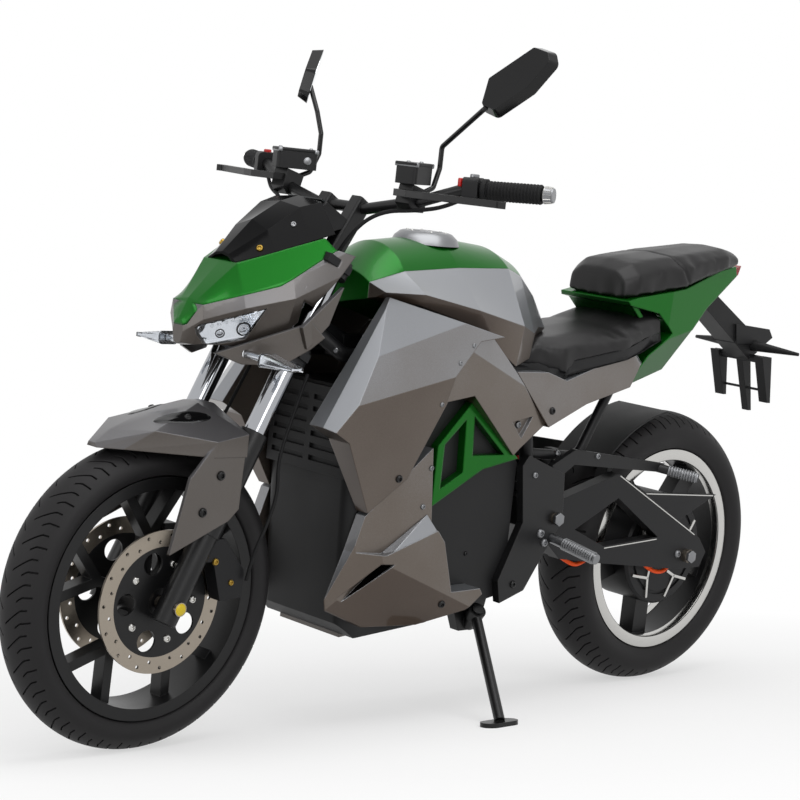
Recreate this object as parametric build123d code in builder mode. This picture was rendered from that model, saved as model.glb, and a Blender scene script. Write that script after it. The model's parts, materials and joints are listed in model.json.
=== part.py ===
"""Electric motor scooter of the naked street-bike kind, parked leaning on its side stand.

Everything is drawn upright in the machine's own frame: X forward, Y to the rider's left, Z up from the road,
with X = 0 midway between the axles. The last section leans the whole machine onto its stand and writes it out.
All sizes are in millimetres, all angles in degrees.
"""

import os
from math import cos, radians, sin, tan

from build123d import *

# Chassis layout
SWINGARM_L = 482
FRONT_REACH = 958
PIVOT_H = 425
RAKE = 26
FORK_OFFSET = 35
LEAN = 9

# Wheels
BEAD_R = 216
FLANGE_H = 14
FLANGE_T = 7
RIM_WALL = 9
FRONT_SECTION = 77
FRONT_TYRE_W = 110
REAR_SECTION = 98
REAR_TYRE_W = 140
TYRE_WALL = 9
SPOKES = 5
SPOKE_T = 32
AXLE_R = 8.5
AXLE_BORE_R = 5
RUNNING_GAP = 0.05
CLEARANCE = 6

FRONT_TYRE_R = BEAD_R + FRONT_SECTION
REAR_TYRE_R = BEAD_R + REAR_SECTION
FRONT_RIM_W = FRONT_TYRE_W * 0.69
REAR_RIM_W = REAR_TYRE_W * 0.7
FLANGE_R = BEAD_R + FLANGE_H
SPOKE_REACH = BEAD_R - RIM_WALL / 2
WHEELBASE = SWINGARM_L + FRONT_REACH
FRONT_AXLE = (WHEELBASE / 2, 0, FRONT_TYRE_R)
REAR_AXLE = (-WHEELBASE / 2, 0, REAR_TYRE_R)
PIVOT = (REAR_AXLE[0] + SWINGARM_L, 0, PIVOT_H)

# Fork, measured along the legs from the axle
STANCHION_R = 20.5
SLIDER_WALL = 3.5
BOSS_WALL = 6.5
CLAMP_WALL = 11.5
SLIDER_TOP = 355
SLIDER_FOOT = 34
TUBE_DEPTH = 115
LOWER_CLAMP = 520
CLAMP_GAP = 185
CLAMP_T = 34
STEM_R = 14
HEAD_WALL = 13
SLIDER_R = STANCHION_R + SLIDER_WALL
BOSS_R = STANCHION_R + BOSS_WALL
CLAMP_R = STANCHION_R + CLAMP_WALL
UPPER_CLAMP = LOWER_CLAMP + CLAMP_GAP
FORK_Y = FRONT_TYRE_W / 2 + CLEARANCE + SLIDER_R + 12

# Brakes and hub motor
DISC_R = 135
DISC_BAND = 31
DISC_T = 4.5
DISC_HOLES = 30
DISC_HOLE_R = 3.5
DISC_Y = FORK_Y - SLIDER_R - 11
HUB_R = 42
REAR_DISC_R = 110
MOTOR_R = 128
MOTOR_HALF = 62

# Handlebar
BAR_R = 11
GRIP_R = 17
GRIP_L = 118
BAR_END_L = 18

# Widths of the rear end and the bodywork, out from the middle of the machine
ARM_IN = REAR_TYRE_W / 2 + 28
ARM_OUT = ARM_IN + 30
BODY_Y = ARM_OUT + 4
PLATE_T = 18
PIVOT_R = 12

# Side stand
STAND_R = 11
PIN_R = 8
STAND_OUT = 300
TYRE_SINK = 1.0


def wheel_plane(axle, y):
    """Plane square to an axle at a distance to the left: local x forward, local y up, normal to the right."""
    return Plane(origin=(axle[0], y, axle[2]), x_dir=(1, 0, 0), z_dir=(0, -1, 0))


def section_plane(axle):
    """Plane through a wheel's axle for profiles to be turned: local x to the left, local y up."""
    return Plane(origin=axle, x_dir=(0, 1, 0), z_dir=(1, 0, 0))


def fork_plane(y, along, back=0):
    """Plane square to the fork legs, a distance up from the axle: local x forward, normal up the leg."""
    lean, rise = sin(radians(RAKE)), cos(radians(RAKE))
    origin = (FRONT_AXLE[0] - along * lean - back * rise, y, FRONT_AXLE[2] + along * rise - back * lean)
    return Plane(origin=origin, x_dir=(rise, 0, lean), z_dir=(-lean, 0, rise))


def body(*points):
    """Carry points drawn on a body 665 long, from pivot to front tyre, to this machine's body length."""
    stretch = (FRONT_REACH - FRONT_TYRE_R) / 665
    return [(PIVOT[0] + (x + 238) * stretch, *rest) for x, *rest in points]


def skin(*points):
    """Carry (x, out, z) points of the side covers: out is counted from the battery's side."""
    return [(x, BODY_Y + out, z) for x, out, z in body(*points)]


def head(*points):
    """Carry points drawn with the top clamp at x 411 and z 927 to where that clamp is."""
    top = fork_plane(0, UPPER_CLAMP).origin
    return [(x + top.X - 411, *rest, z + top.Z - 927) for x, *rest, z in points]


def arm(*points):
    """Carry (x, z) points drawn on a swingarm 482 long, its axle 314 high, to this machine's swingarm."""
    share = [((x + 238) / -482, z) for x, z in points]
    return [(PIVOT[0] - t * SWINGARM_L, z + t * (REAR_TYRE_R - 314)) for t, z in share]


def front(*points):
    """Carry (x, z) points drawn around a front tyre of radius 293 to this machine's front tyre."""
    size = FRONT_TYRE_R / 293
    return [(FRONT_AXLE[0] + (x - 720) * size, FRONT_AXLE[2] + (z - 293) * size) for x, z in points]


def rear(*points):
    """Carry (x, z) points drawn around the rear axle at x -720 and z 314 to this machine's rear axle."""
    return [(REAR_AXLE[0] + x + 720, REAR_AXLE[2] + z - 314) for x, z in points]


def facet(a, b, c):
    """Cutting plane through three points, its normal to the left, or up where it faces neither side."""
    a, b, c = Vector(*a), Vector(*b), Vector(*c)
    normal = (b - a).cross(c - a)
    if normal.Y < -1e-6 or (abs(normal.Y) <= 1e-6 and normal.Z < 0):
        normal = normal * -1
    return Plane(origin=a, z_dir=normal)


def trim(*facets):
    """Cut the open part back to the inner side of each facet."""
    for corners in facets:
        split(bisect_by=facet(*corners), keep=Keep.BOTTOM)


def clear_of(*others):
    """Cut away from the open part whatever it shares with pieces already made."""
    for other in others:
        add(other.part, mode=Mode.SUBTRACT)


def rod(points, radius, bend=0):
    """Round bar along a route of points, its corners rounded to the bend radius. Adds to the open part."""
    with BuildLine():
        route = FilletPolyline(*points, radius=bend) if bend else Polyline(*points)
    with BuildSketch(Plane(origin=route @ 0, z_dir=route % 0)) as end:
        Circle(radius)
    sweep(end.sketch, path=route)


def prism(outline, outer, inner, mode=Mode.ADD):
    """Block over a side outline of (x, z) corners, between two distances to the left."""
    with BuildSketch(Plane.XZ.offset(-outer)) as face:
        with BuildLine():
            Polyline(*outline, close=True)
        make_face()
    extrude(face.sketch, amount=outer - inner, mode=mode)


def ring(axle, inner, outer, middle_y, thickness, mode=Mode.ADD):
    """Flat ring square to an axle. Changes the open part."""
    with BuildSketch(wheel_plane(axle, middle_y + thickness / 2)) as face:
        Circle(outer)
        if inner:
            Circle(inner, mode=Mode.SUBTRACT)
    extrude(face.sketch, amount=thickness, mode=mode)


def hull(stations, ruled=True, mode=Mode.ADD):
    """Loft along X with mirrored halves. A station: x, then its (half width, z) corners from the top."""
    faces = []
    for x, corners in stations:
        right = [(-y, z) for y, z in reversed(corners) if y > 0]
        with BuildSketch(Plane.YZ.offset(x)) as face:
            with BuildLine():
                Polyline(*corners, *right, close=True)
            make_face()
        faces.append(face.sketch.face())
    loft(faces, ruled=ruled, mode=mode)


def body_hull(stations, ruled=True):
    """Symmetric loft over stations of the body: x, then the (half width, z) corners from the top."""
    hull([(body((x, 0))[0][0], corners) for x, *corners in stations], ruled)


def head_hull(stations, mode=Mode.ADD):
    """Symmetric loft over stations of the headlight: widths follow the fork, places the top clamp."""
    wide = (FORK_Y + CLAMP_R) / 129
    placed = []
    for x, *corners in stations:
        placed.append((head((x, 0))[0][0], [(y * wide, head((x, z))[0][1]) for y, z in corners]))
    hull(placed, mode=mode)


def tyre(axle, radius, width, rim_width):
    """Hollow tyre: a round crown on bulging side walls, with beads between the rim flanges."""
    bead = rim_width / 2
    shoulder = (width / 2 - 5, radius - width * 0.23)
    bulge = (width / 2, (radius + FLANGE_R) / 2 - 8)
    foot = FLANGE_R + 1
    lip = bead - TYRE_WALL
    inner_bulge = (width / 2 - TYRE_WALL, bulge[1])
    inner_shoulder = (shoulder[0] - TYRE_WALL, shoulder[1] - TYRE_WALL * 0.7)
    with BuildSketch(section_plane(axle)) as profile:
        with BuildLine():
            ThreePointArc((-shoulder[0], shoulder[1]), (0, radius), shoulder)
            ThreePointArc(shoulder, bulge, (bead, foot))
            Polyline((bead, foot), (bead, BEAD_R), (lip, BEAD_R), (lip, foot))
            ThreePointArc((lip, foot), inner_bulge, inner_shoulder)
            ThreePointArc(inner_shoulder, (0, radius - TYRE_WALL), (-inner_shoulder[0], inner_shoulder[1]))
            far_shoulder = (-inner_shoulder[0], inner_shoulder[1])
            far_bulge = (-inner_bulge[0], inner_bulge[1])
            ThreePointArc(far_shoulder, far_bulge, (-lip, foot))
            Polyline((-lip, foot), (-lip, BEAD_R), (-bead, BEAD_R), (-bead, foot))
            ThreePointArc((-bead, foot), (-bulge[0], bulge[1]), (-shoulder[0], shoulder[1]))
        make_face()
    revolve(profile.sketch, axis=Axis(axle, (0, 1, 0)))


def rim_band(axle, rim_width):
    """Rim band with its two flanges. Adds to the open part."""
    half = rim_width / 2
    outer = half + FLANGE_T
    inside = BEAD_R - RIM_WALL
    with BuildSketch(section_plane(axle)) as profile:
        with BuildLine():
            Polyline(
                (-outer, inside), (-outer, FLANGE_R), (-half, FLANGE_R), (-half, BEAD_R),
                (half, BEAD_R), (half, FLANGE_R), (outer, FLANGE_R), (outer, inside), close=True,
            )
        make_face()
    revolve(profile.sketch, axis=Axis(axle, (0, 1, 0)))


# Front wheel
with BuildPart() as front_tyre:
    tyre(FRONT_AXLE, FRONT_TYRE_R, FRONT_TYRE_W, FRONT_RIM_W)

with BuildPart() as front_rim:
    rim_band(FRONT_AXLE, FRONT_RIM_W)
    for number in range(SPOKES):
        turn = 90 + number * 360 / SPOKES
        for spread in (-17, 17):
            stem = Vector(HUB_R * 0.8, 0).rotate(Axis.Z, turn)
            fork = Vector(SPOKE_REACH * 0.53, 0).rotate(Axis.Z, turn)
            tip = Vector(SPOKE_REACH, 0).rotate(Axis.Z, turn + spread)
            with BuildSketch(wheel_plane(FRONT_AXLE, SPOKE_T / 2)):
                with BuildLine():
                    Polyline(stem, fork, tip)
                trace(line_width=19)
            extrude(amount=SPOKE_T)
    ring(FRONT_AXLE, 0, HUB_R, 0, 2 * DISC_Y - DISC_T)
    ring(FRONT_AXLE, 0, AXLE_R + RUNNING_GAP, 0, 2 * DISC_Y, mode=Mode.SUBTRACT)

with BuildPart() as front_discs:
    for y in (-DISC_Y, DISC_Y):
        with BuildSketch(wheel_plane(FRONT_AXLE, y + DISC_T / 2)):
            Circle(DISC_R)
            Circle(DISC_R - DISC_BAND, mode=Mode.SUBTRACT)
            for row, shift in ((0.3, 0), (0.7, 0.5)):
                turn = 720 / DISC_HOLES * shift
                with PolarLocations(DISC_R - DISC_BAND * row, DISC_HOLES // 2, turn):
                    Circle(DISC_HOLE_R, mode=Mode.SUBTRACT)
        extrude(amount=DISC_T)

with BuildPart() as disc_carriers:
    for y in (-DISC_Y, DISC_Y):
        with BuildSketch(wheel_plane(FRONT_AXLE, y + DISC_T / 2)):
            Circle(DISC_R - DISC_BAND)
            Circle(HUB_R * 0.6, mode=Mode.SUBTRACT)
            with PolarLocations((HUB_R + DISC_R - DISC_BAND) / 2 + 3, SPOKES):
                Circle((DISC_R - DISC_BAND - HUB_R) * 0.33, mode=Mode.SUBTRACT)
        extrude(amount=DISC_T)

# Rear wheel with its hub motor
with BuildPart() as rear_tyre:
    tyre(REAR_AXLE, REAR_TYRE_R, REAR_TYRE_W, REAR_RIM_W)

with BuildPart() as rear_rim:
    rim_band(REAR_AXLE, REAR_RIM_W)
    with BuildSketch(wheel_plane(REAR_AXLE, 20)):
        for number in range(SPOKES):
            with Locations(Rotation(0, 0, 54 + number * 360 / SPOKES)):
                Rectangle(SPOKE_REACH, 46, align=(Align.MIN, Align.CENTER))
        Circle(MOTOR_R, mode=Mode.SUBTRACT)
    extrude(amount=40)

with BuildPart() as hub_motor:
    ring(REAR_AXLE, AXLE_R + RUNNING_GAP, MOTOR_R, 0, 2 * MOTOR_HALF)
    chamfer(edges().filter_by(GeomType.CIRCLE).sort_by(SortBy.RADIUS)[-2:], 6)
    for y in (-MOTOR_HALF, MOTOR_HALF):
        ring(REAR_AXLE, MOTOR_R - 30, MOTOR_R - 22, y, 8, mode=Mode.SUBTRACT)

with BuildPart() as rear_disc:
    rear_disc_y = -MOTOR_HALF - 18
    ring(REAR_AXLE, 60, REAR_DISC_R, rear_disc_y, DISC_T)
    reach = -MOTOR_HALF - rear_disc_y - DISC_T / 2
    ring(REAR_AXLE, 60, 74, -MOTOR_HALF - reach / 2, reach)

# Fork
with BuildPart() as front_axle:
    ring(FRONT_AXLE, AXLE_BORE_R, AXLE_R, 0, 2 * FORK_Y + 56)
    spacer = FORK_Y - SLIDER_R - DISC_Y - DISC_T / 2 - 0.2
    for sign in (-1, 1):
        ring(FRONT_AXLE, AXLE_R - 1, 13, sign * (FORK_Y + SLIDER_R + 3), 6)
        ring(FRONT_AXLE, AXLE_R - 1, 13, sign * (FORK_Y - SLIDER_R - spacer / 2), spacer)

with BuildPart() as fork_lowers:
    with BuildSketch(fork_plane(FORK_Y, -SLIDER_FOOT)):
        Circle(SLIDER_R)
    extrude(amount=SLIDER_TOP + SLIDER_FOOT)
    with BuildSketch(fork_plane(FORK_Y, DISC_R + 10)):
        Circle(BOSS_R)
    extrude(amount=SLIDER_TOP - DISC_R - 10)
    with BuildSketch(fork_plane(FORK_Y, SLIDER_TOP - TUBE_DEPTH)):
        Circle(STANCHION_R)
    extrude(amount=TUBE_DEPTH, mode=Mode.SUBTRACT)
    ring(FRONT_AXLE, 0, AXLE_R, FORK_Y, 80, mode=Mode.SUBTRACT)
    mirror(about=Plane.XZ)

with BuildPart() as fork_tubes:
    with BuildSketch(fork_plane(FORK_Y, SLIDER_TOP - TUBE_DEPTH)):
        Circle(STANCHION_R)
        Circle(STANCHION_R - 4, mode=Mode.SUBTRACT)
    extrude(amount=UPPER_CLAMP + CLAMP_T / 2 + 8 - SLIDER_TOP + TUBE_DEPTH)
    mirror(about=Plane.XZ)

with BuildPart() as triple_clamps:
    for along in (LOWER_CLAMP, UPPER_CLAMP):
        with BuildSketch(fork_plane(0, along - CLAMP_T / 2)):
            with BuildLine():
                Polyline(
                    (-FORK_OFFSET - 30, -45), (-FORK_OFFSET - 30, 45), (-8, FORK_Y + 20), (24, FORK_Y + 20),
                    (10, 0), (24, -FORK_Y - 20), (-8, -FORK_Y - 20), close=True,
                )
            make_face()
            with Locations((0, FORK_Y), (0, -FORK_Y)):
                Circle(CLAMP_R)
            with Locations((0, FORK_Y), (0, -FORK_Y)):
                Circle(STANCHION_R, mode=Mode.SUBTRACT)
        extrude(amount=CLAMP_T)
    for along, forward in ((LOWER_CLAMP, 0), (UPPER_CLAMP, 20)):
        with BuildSketch(fork_plane(0, along - 8)):
            with Locations((forward, 0)):
                Rectangle(24 + 2 * forward, 2 * (FORK_Y + CLAMP_R + 7))
            with Locations((0, FORK_Y), (0, -FORK_Y)):
                Circle(STANCHION_R, mode=Mode.SUBTRACT)
        extrude(amount=16)
    with BuildSketch(fork_plane(0, LOWER_CLAMP, FORK_OFFSET)):
        Circle(STEM_R)
    extrude(amount=CLAMP_GAP)

# Handlebar and controls
BAR_ROUTE = head((318, 0, 1040), (318, 70, 1040), (306, 205, 1068), (276, 288, 1100), (207, 426, 1106))
BAR_MID, BAR_INNER, BAR_BEND, BAR_HAND, BAR_TIP = (Vector(*point) for point in BAR_ROUTE)
ALONG_GRIP = (BAR_TIP - BAR_HAND).normalized()

with BuildPart() as handlebar:
    rod([BAR_MID, BAR_INNER, BAR_BEND, BAR_HAND, BAR_TIP], BAR_R, 30)
    mirror(about=Plane.XZ)
    foot = fork_plane(0, UPPER_CLAMP, 20).origin
    with BuildSketch(Plane(origin=foot, x_dir=(0, 1, 0), z_dir=BAR_MID - foot)):
        with Locations((45, 0), (-45, 0)):
            RectangleRounded(32, 36, 6)
    extrude(amount=(BAR_MID - foot).length + 16)
    clear_of(triple_clamps)

with BuildPart() as grips:
    with BuildSketch(Plane(origin=BAR_TIP - ALONG_GRIP * 4, z_dir=ALONG_GRIP * -1)):
        Circle(GRIP_R)
        Circle(BAR_R, mode=Mode.SUBTRACT)
    extrude(amount=GRIP_L)
    with BuildSketch(Plane(origin=BAR_TIP - ALONG_GRIP * (GRIP_L - 8), z_dir=ALONG_GRIP * -1)):
        Circle(GRIP_R + 5)
        Circle(BAR_R, mode=Mode.SUBTRACT)
    extrude(amount=8)
    mirror(about=Plane.XZ)

with BuildPart() as bar_ends:
    with BuildSketch(Plane(origin=BAR_TIP, z_dir=ALONG_GRIP)):
        Circle(16)
    extrude(amount=BAR_END_L, taper=8)
    mirror(about=Plane.XZ)

with BuildPart() as switchgear:
    inner_end = BAR_TIP - ALONG_GRIP * (GRIP_L + 6)
    with BuildSketch(Plane(origin=inner_end, x_dir=(0, 0, 1), z_dir=ALONG_GRIP * -1)):
        RectangleRounded(46, 42, 10)
    extrude(amount=30)
    mirror(about=Plane.XZ)
    clear_of(handlebar)

with BuildPart() as bar_perches:
    prism(head((282, 1086), (326, 1098), (334, 1062), (322, 1046), (294, 1046)), 202, 164)
    mirror(about=Plane.XZ)
    clear_of(handlebar)

with BuildPart() as brake_reservoirs:
    with BuildSketch(Plane.XY.offset(head((0, 1098))[0][1])):
        with Locations(Location((*head((302, 0))[0][:1], 174, 0), (0, 0, 24))):
            RectangleRounded(84, 44, 8)
    extrude(amount=38)
    fillet(edges().filter_by(Axis.Z, reverse=True).group_by(Axis.Z)[-1], 4)
    mirror(about=Plane.XZ)

with BuildPart() as brake_levers:
    blade = head(
        (326, 170, 0), (352, 176, 0), (368, 226, 0), (358, 262, 0), (306, 402, 0), (311, 410, 0), (298, 418, 0),
        (290, 408, 0), (336, 268, 0), (342, 232, 0), (332, 200, 0), (326, 200, 0),
    )
    with BuildSketch(Plane.XY.offset(head((0, 1074))[0][1])):
        with BuildLine():
            Polyline(*[(x, y) for x, y, z in blade], close=True)
        make_face()
    extrude(amount=13)
    mirror(about=Plane.XZ)
    clear_of(bar_perches)

with BuildPart() as mirrors:
    for side, knee, neck, middle, facing in (
        (1, (262, 300, 1250), (232, 328, 1284), (222, 338, 1304), (-0.93, -0.2, -0.3)),
        (-1, (242, 190, 1216), (236, 226, 1266), (214, 240, 1287), (-0.72, -0.66, -0.2)),
    ):
        route = head((300, 184, 1076), (254, 180, 1094), (238, 176, 1132), (238, 176, 1173), knee, neck)
        rod([(x, side * y, z) for x, y, z in route], 5, 10)
        x, y, z = head(middle)[0]
        pane = Plane(
            origin=(x, side * y, z), x_dir=(-0.35, side * 0.66, 0.66),
            z_dir=(facing[0], side * facing[1], facing[2]),
        )
        with BuildSketch(pane):
            with BuildLine():
                edge = [(-82, 4), (-62, 40), (20, 44), (84, 26), (92, 0), (70, -34), (-40, -40)]
                Polyline(*[(u * 0.74 if side < 0 else u, v * side) for u, v in edge], close=True)
            make_face()
            fillet(vertices(), 14)
        extrude(amount=-22, taper=20)
    clear_of(bar_perches)

# Headlight cowl. The stations run from the nose back, each with its corners from the top down.
COWL = [
    (690, (0, 812), (8, 809), (13, 803), (15, 788), (10, 768), (0, 764)),
    (672, (0, 850), (22, 846), (46, 842), (50, 815), (24, 766), (0, 762)),
    (606, (0, 922), (50, 921), (78, 866), (88, 842), (62, 770), (0, 764)),
    (520, (0, 950), (88, 956), (114, 902), (124, 867), (108, 806), (0, 800)),
    (396, (0, 980), (130, 1002), (142, 970), (147, 930), (146, 905), (0, 900)),
]
COWL_CAVITY = [
    (600, (0, 904), (42, 902), (70, 862), (78, 842), (56, 780), (0, 774)),
    (520, (0, 940), (79, 945), (105, 899), (115, 867), (99, 816), (0, 812)),
    (390, (0, 970), (119, 992), (133, 966), (137, 930), (135, 880), (0, 870)),
]
COWL_REAR = [
    (474, 1010), (436, 962), (399, 953), (449, 886), (486, 840), (470, 770), (380, 770), (380, 1010),
]
BROW_LINE = [(700, 790), (686, 803), (674, 841), (543, 887), (436, 959), (400, 972)]
LAMP = [(567, 845), (588, 784), (655, 764), (681, 790), (673, 806)]


def cowl_block():
    """The whole headlight cowl, hollow and swept back behind the fork. Adds to the open part."""
    head_hull(COWL)
    head_hull(COWL_CAVITY, mode=Mode.SUBTRACT)
    prism(head(*COWL_REAR), 300, -300, mode=Mode.SUBTRACT)
    room = FORK_Y + BOSS_R
    prism(head((500, 890), (396, 940), (396, 760), (500, 760)), room, -room, mode=Mode.SUBTRACT)
    clear_of(triple_clamps, fork_tubes)


with BuildPart() as headlight_shell:
    cowl_block()
    prism(head(*BROW_LINE, (400, 1100), (700, 1100)), 300, -300, mode=Mode.SUBTRACT)
    prism(head(*LAMP), 300, 34, mode=Mode.SUBTRACT)
    prism(head(*LAMP), -34, -300, mode=Mode.SUBTRACT)

with BuildPart() as headlight_brow:
    cowl_block()
    prism(head(*BROW_LINE, (400, 1100), (700, 1100)), 300, -300, mode=Mode.INTERSECT)

with BuildPart() as headlamp_lenses:
    cowl_block()
    prism(head(*LAMP), 300, 34, mode=Mode.INTERSECT)
    split(bisect_by=facet(*head((567, 92, 845), (588, 74, 784), (673, 22, 806))), keep=Keep.TOP)
    mirror(about=Plane.XZ)

with BuildPart() as cowl_winglets:
    prism(head((640, 754), (494, 826), (470, 800), (490, 776), (530, 742), (595, 737)), 160, 24)
    trim(head((630, 60, 754), (506, 140, 812), (520, 126, 744)))
    split(bisect_by=facet(*head((630, 52, 754), (506, 132, 812), (520, 118, 744))), keep=Keep.TOP)
    prism(head((516, 816), (424, 894), (452, 822), (500, 776)), FORK_Y + CLAMP_R + 19, FORK_Y + CLAMP_R + 9)
    head_hull(COWL, mode=Mode.SUBTRACT)
    clear_of(fork_tubes, triple_clamps)
    mirror(about=Plane.XZ)

with BuildPart() as windscreen:
    head_hull([
        (604, (0, 938), (20, 935), (47, 919)),
        (540, (0, 1002), (48, 986), (79, 948)),
        (476, (0, 1040), (58, 1033), (102, 973)),
        (432, (0, 1053), (68, 1046), (117, 990)),
    ])
    head_hull([
        (606, (0, 931), (18, 928), (42, 914)),
        (540, (0, 997), (45, 981), (73, 942)),
        (476, (0, 1035), (55, 1028), (96, 966)),
        (430, (0, 1048), (65, 1041), (111, 983)),
    ], mode=Mode.SUBTRACT)
    clear_of(headlight_brow)

with BuildPart() as dash:
    prism(head((350, 1008), (354, 1016), (408, 1046), (424, 1034), (418, 996), (386, 992), (356, 1000)), 58, -58)
    with BuildSketch(fork_plane(0, UPPER_CLAMP + CLAMP_T / 2)):
        Circle(12)
    extrude(amount=70)
    clear_of(handlebar)

with BuildPart() as front_indicators:
    rod(head((592, 82, 758), (594, 140, 756), (594, 160, 755)), 7)
    with BuildSketch(Plane(origin=head((594, 150, 755))[0], x_dir=(1, 0, 0), z_dir=(0, 1, -0.06))):
        RectangleRounded(46, 26, 8)
    extrude(amount=84, taper=6)
    clear_of(cowl_winglets)
    mirror(about=Plane.XZ)

with BuildPart() as front_fender:
    prism(front((852, 578), (745, 622), (644, 646), (600, 644), (600, 560), (700, 520), (820, 540)), 74, -74)
    crown = front((852, 578), (745, 628), (644, 652), (606, 652))
    (fore, top), (mid, middle), (aft, back) = crown[:3]
    trim(((fore, 18, top), (mid, 74, middle - 30), (aft, 52, back)))
    mirror(about=Plane.XZ, mode=Mode.INTERSECT)
    out = FORK_Y + BOSS_R + 8
    low, high = front((0, 574), (0, 612))
    flare = [front((x, 0))[0][0] for x in (608, 676, 772)]
    with BuildSketch(Plane.XY.offset(low[1])):
        for side in (-1, 1):
            with BuildLine():
                Polyline((flare[0], side * 55), (flare[0], side * out), (flare[1], side * out),
                         (flare[2], side * 70), (flare[2], side * 55), close=True)
            make_face()
    extrude(amount=high[1] - low[1])
    slope = front((606, 613), (772, 584))
    (back_x, back_z), (tip_x, tip_z) = slope
    trim(((back_x, out, back_z), (tip_x, out, tip_z), (back_x, 60, back_z + 40)))
    mirror(about=Plane.XZ, mode=Mode.INTERSECT)
    ring(FRONT_AXLE, 0, FRONT_TYRE_R + 8, 0, 136, mode=Mode.SUBTRACT)
    wing = front((608, 606), (676, 600), (730, 537), (762, 397), (633, 455), (612, 476), (611, 530))
    prism(wing, out, out - 8)
    prism(wing, 8 - out, -out)
    clear_of(fork_lowers, fork_tubes)

with BuildPart() as front_calipers:
    grip = [(-60, 121), (-108, 121), (-160, 57), (-158, 7), (-108, 3), (-84, 79), (-48, 79)]
    window = [(20, 227), (-80, 227), (-80, 7), (20, 7)]
    prism([(FRONT_AXLE[0] + x, FRONT_AXLE[2] + z) for x, z in grip], FORK_Y + 7, DISC_Y - 16)
    ring(FRONT_AXLE, 0, DISC_R + 6, DISC_Y, 18, mode=Mode.SUBTRACT)
    opening = [(FRONT_AXLE[0] + x, FRONT_AXLE[2] + z) for x, z in window]
    prism(opening, FORK_Y - SLIDER_R, 0, mode=Mode.SUBTRACT)
    mirror(about=Plane.XZ)
    clear_of(fork_lowers)

# Rear suspension
with BuildPart() as pivot_plates:
    prism([(PIVOT[0] + x, PIVOT[2] + z) for x, z in (
        (101, 137), (-14, 95), (-24, -5), (16, -63), (73, -150), (142, -173), (154, -125), (98, -5), (118, 115),
    )], BODY_Y + PLATE_T, BODY_Y)
    ring(PIVOT, 0, PIVOT_R, BODY_Y, 60, mode=Mode.SUBTRACT)
    mirror(about=Plane.XZ)

with BuildPart() as swingarm:
    prism(arm(
        (-212, 455), (-284, 462), (-454, 510), (-530, 476), (-763, 352), (-792, 318), (-774, 284), (-690, 284),
        (-430, 312), (-290, 330), (-212, 396),
    ), ARM_OUT, ARM_IN)
    prism(arm((-330, 392), (-462, 456), (-613, 362), (-430, 350)), ARM_OUT, ARM_IN, mode=Mode.SUBTRACT)
    prism(arm((-520, 484), (-560, 464), (-812, 450), (-690, 396), (-640, 400)), ARM_OUT - 6, ARM_OUT - 16)
    ring(REAR_AXLE, 0, AXLE_R, (ARM_IN + ARM_OUT) / 2, 60, mode=Mode.SUBTRACT)
    mirror(about=Plane.XZ)
    bridge = ((26, 30), (-46, 36), (-58, 10), (-52, -92), (26, -30))
    prism([(PIVOT[0] + x, PIVOT[2] + z) for x, z in bridge], ARM_IN, -ARM_IN)
    ring(PIVOT, 0, PIVOT_R, 0, 300, mode=Mode.SUBTRACT)

with BuildPart() as swingarm_pivot:
    ring(PIVOT, 0, PIVOT_R, 0, 2 * (BODY_Y + PLATE_T) + 12)

with BuildPart() as rear_axle:
    ring(REAR_AXLE, AXLE_BORE_R, AXLE_R, 0, 2 * ARM_OUT + 24)
    for sign in (-1, 1):
        ring(REAR_AXLE, AXLE_R - 1, 15, sign * (ARM_OUT + 6), 12)
        ring(REAR_AXLE, AXLE_R - 1, 16, sign * (ARM_IN + MOTOR_HALF + 0.2) / 2, ARM_IN - MOTOR_HALF - 0.2)

with BuildPart() as rear_shock:
    rod([(PIVOT[0] - 30, 0, PIVOT[2] + 20), (PIVOT[0] + 20, 0, 700)], 26)
    clear_of(swingarm)

with BuildPart() as rear_caliper:
    prism(rear((-690, 400), (-650, 376), (-605, 400), (-620, 436), (-680, 444)), -MOTOR_HALF - 4, -ARM_IN)
    ring(REAR_AXLE, 0, REAR_DISC_R + 6, rear_disc_y, 16, mode=Mode.SUBTRACT)

with BuildPart() as rear_hugger:
    with BuildSketch(wheel_plane(REAR_AXLE, 74)):
        with BuildLine():
            outer = CenterArc((0, 0), REAR_TYRE_R + 15, 40, 40)
            inner = CenterArc((0, 0), REAR_TYRE_R + 11, 40, 40)
            Line(outer @ 0, inner @ 0)
            Line(outer @ 1, inner @ 1)
        make_face()
    extrude(amount=148)
    for sign in (-1, 1):
        lug = rear((-474, 530), (-452, 530), (-440, 480), (-468, 480))
        prism(lug, *((ARM_IN, 68) if sign > 0 else (-68, -ARM_IN)))
    ring(REAR_AXLE, 0, REAR_TYRE_R + 11, 0, 300, mode=Mode.SUBTRACT)

# Battery block and its covers. Side outlines are (x, z); facet corners (x, out from the battery's side, z).
with BuildPart() as battery_box:
    prism(body(
        (-120, 545), (-40, 620), (40, 690), (300, 690), (334, 640), (334, 500), (318, 230), (290, 205), (100, 222),
        (-13, 248), (-120, 268),
    ), BODY_Y, -BODY_Y)
    fore = body((310, 0))[0][0]
    nose = [edge for edge in edges() if edge.bounding_box().min.X > fore and edge.length < 500]
    fillet([edge for edge in nose if abs(edge.center().Y) > BODY_Y - 1], 34)

with BuildPart() as front_grille:
    prism(body((334, 690), (346, 690), (346, 520), (334, 520)), 118, -118)
    for row in range(6):
        z = 540 + row * 24
        louvre = body((350, z + 10), (350, z), (340, z), (340, z + 10))
        for left, right in ((104, 8), (-8, -104)):
            prism(louvre, left, right, mode=Mode.SUBTRACT)

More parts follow.
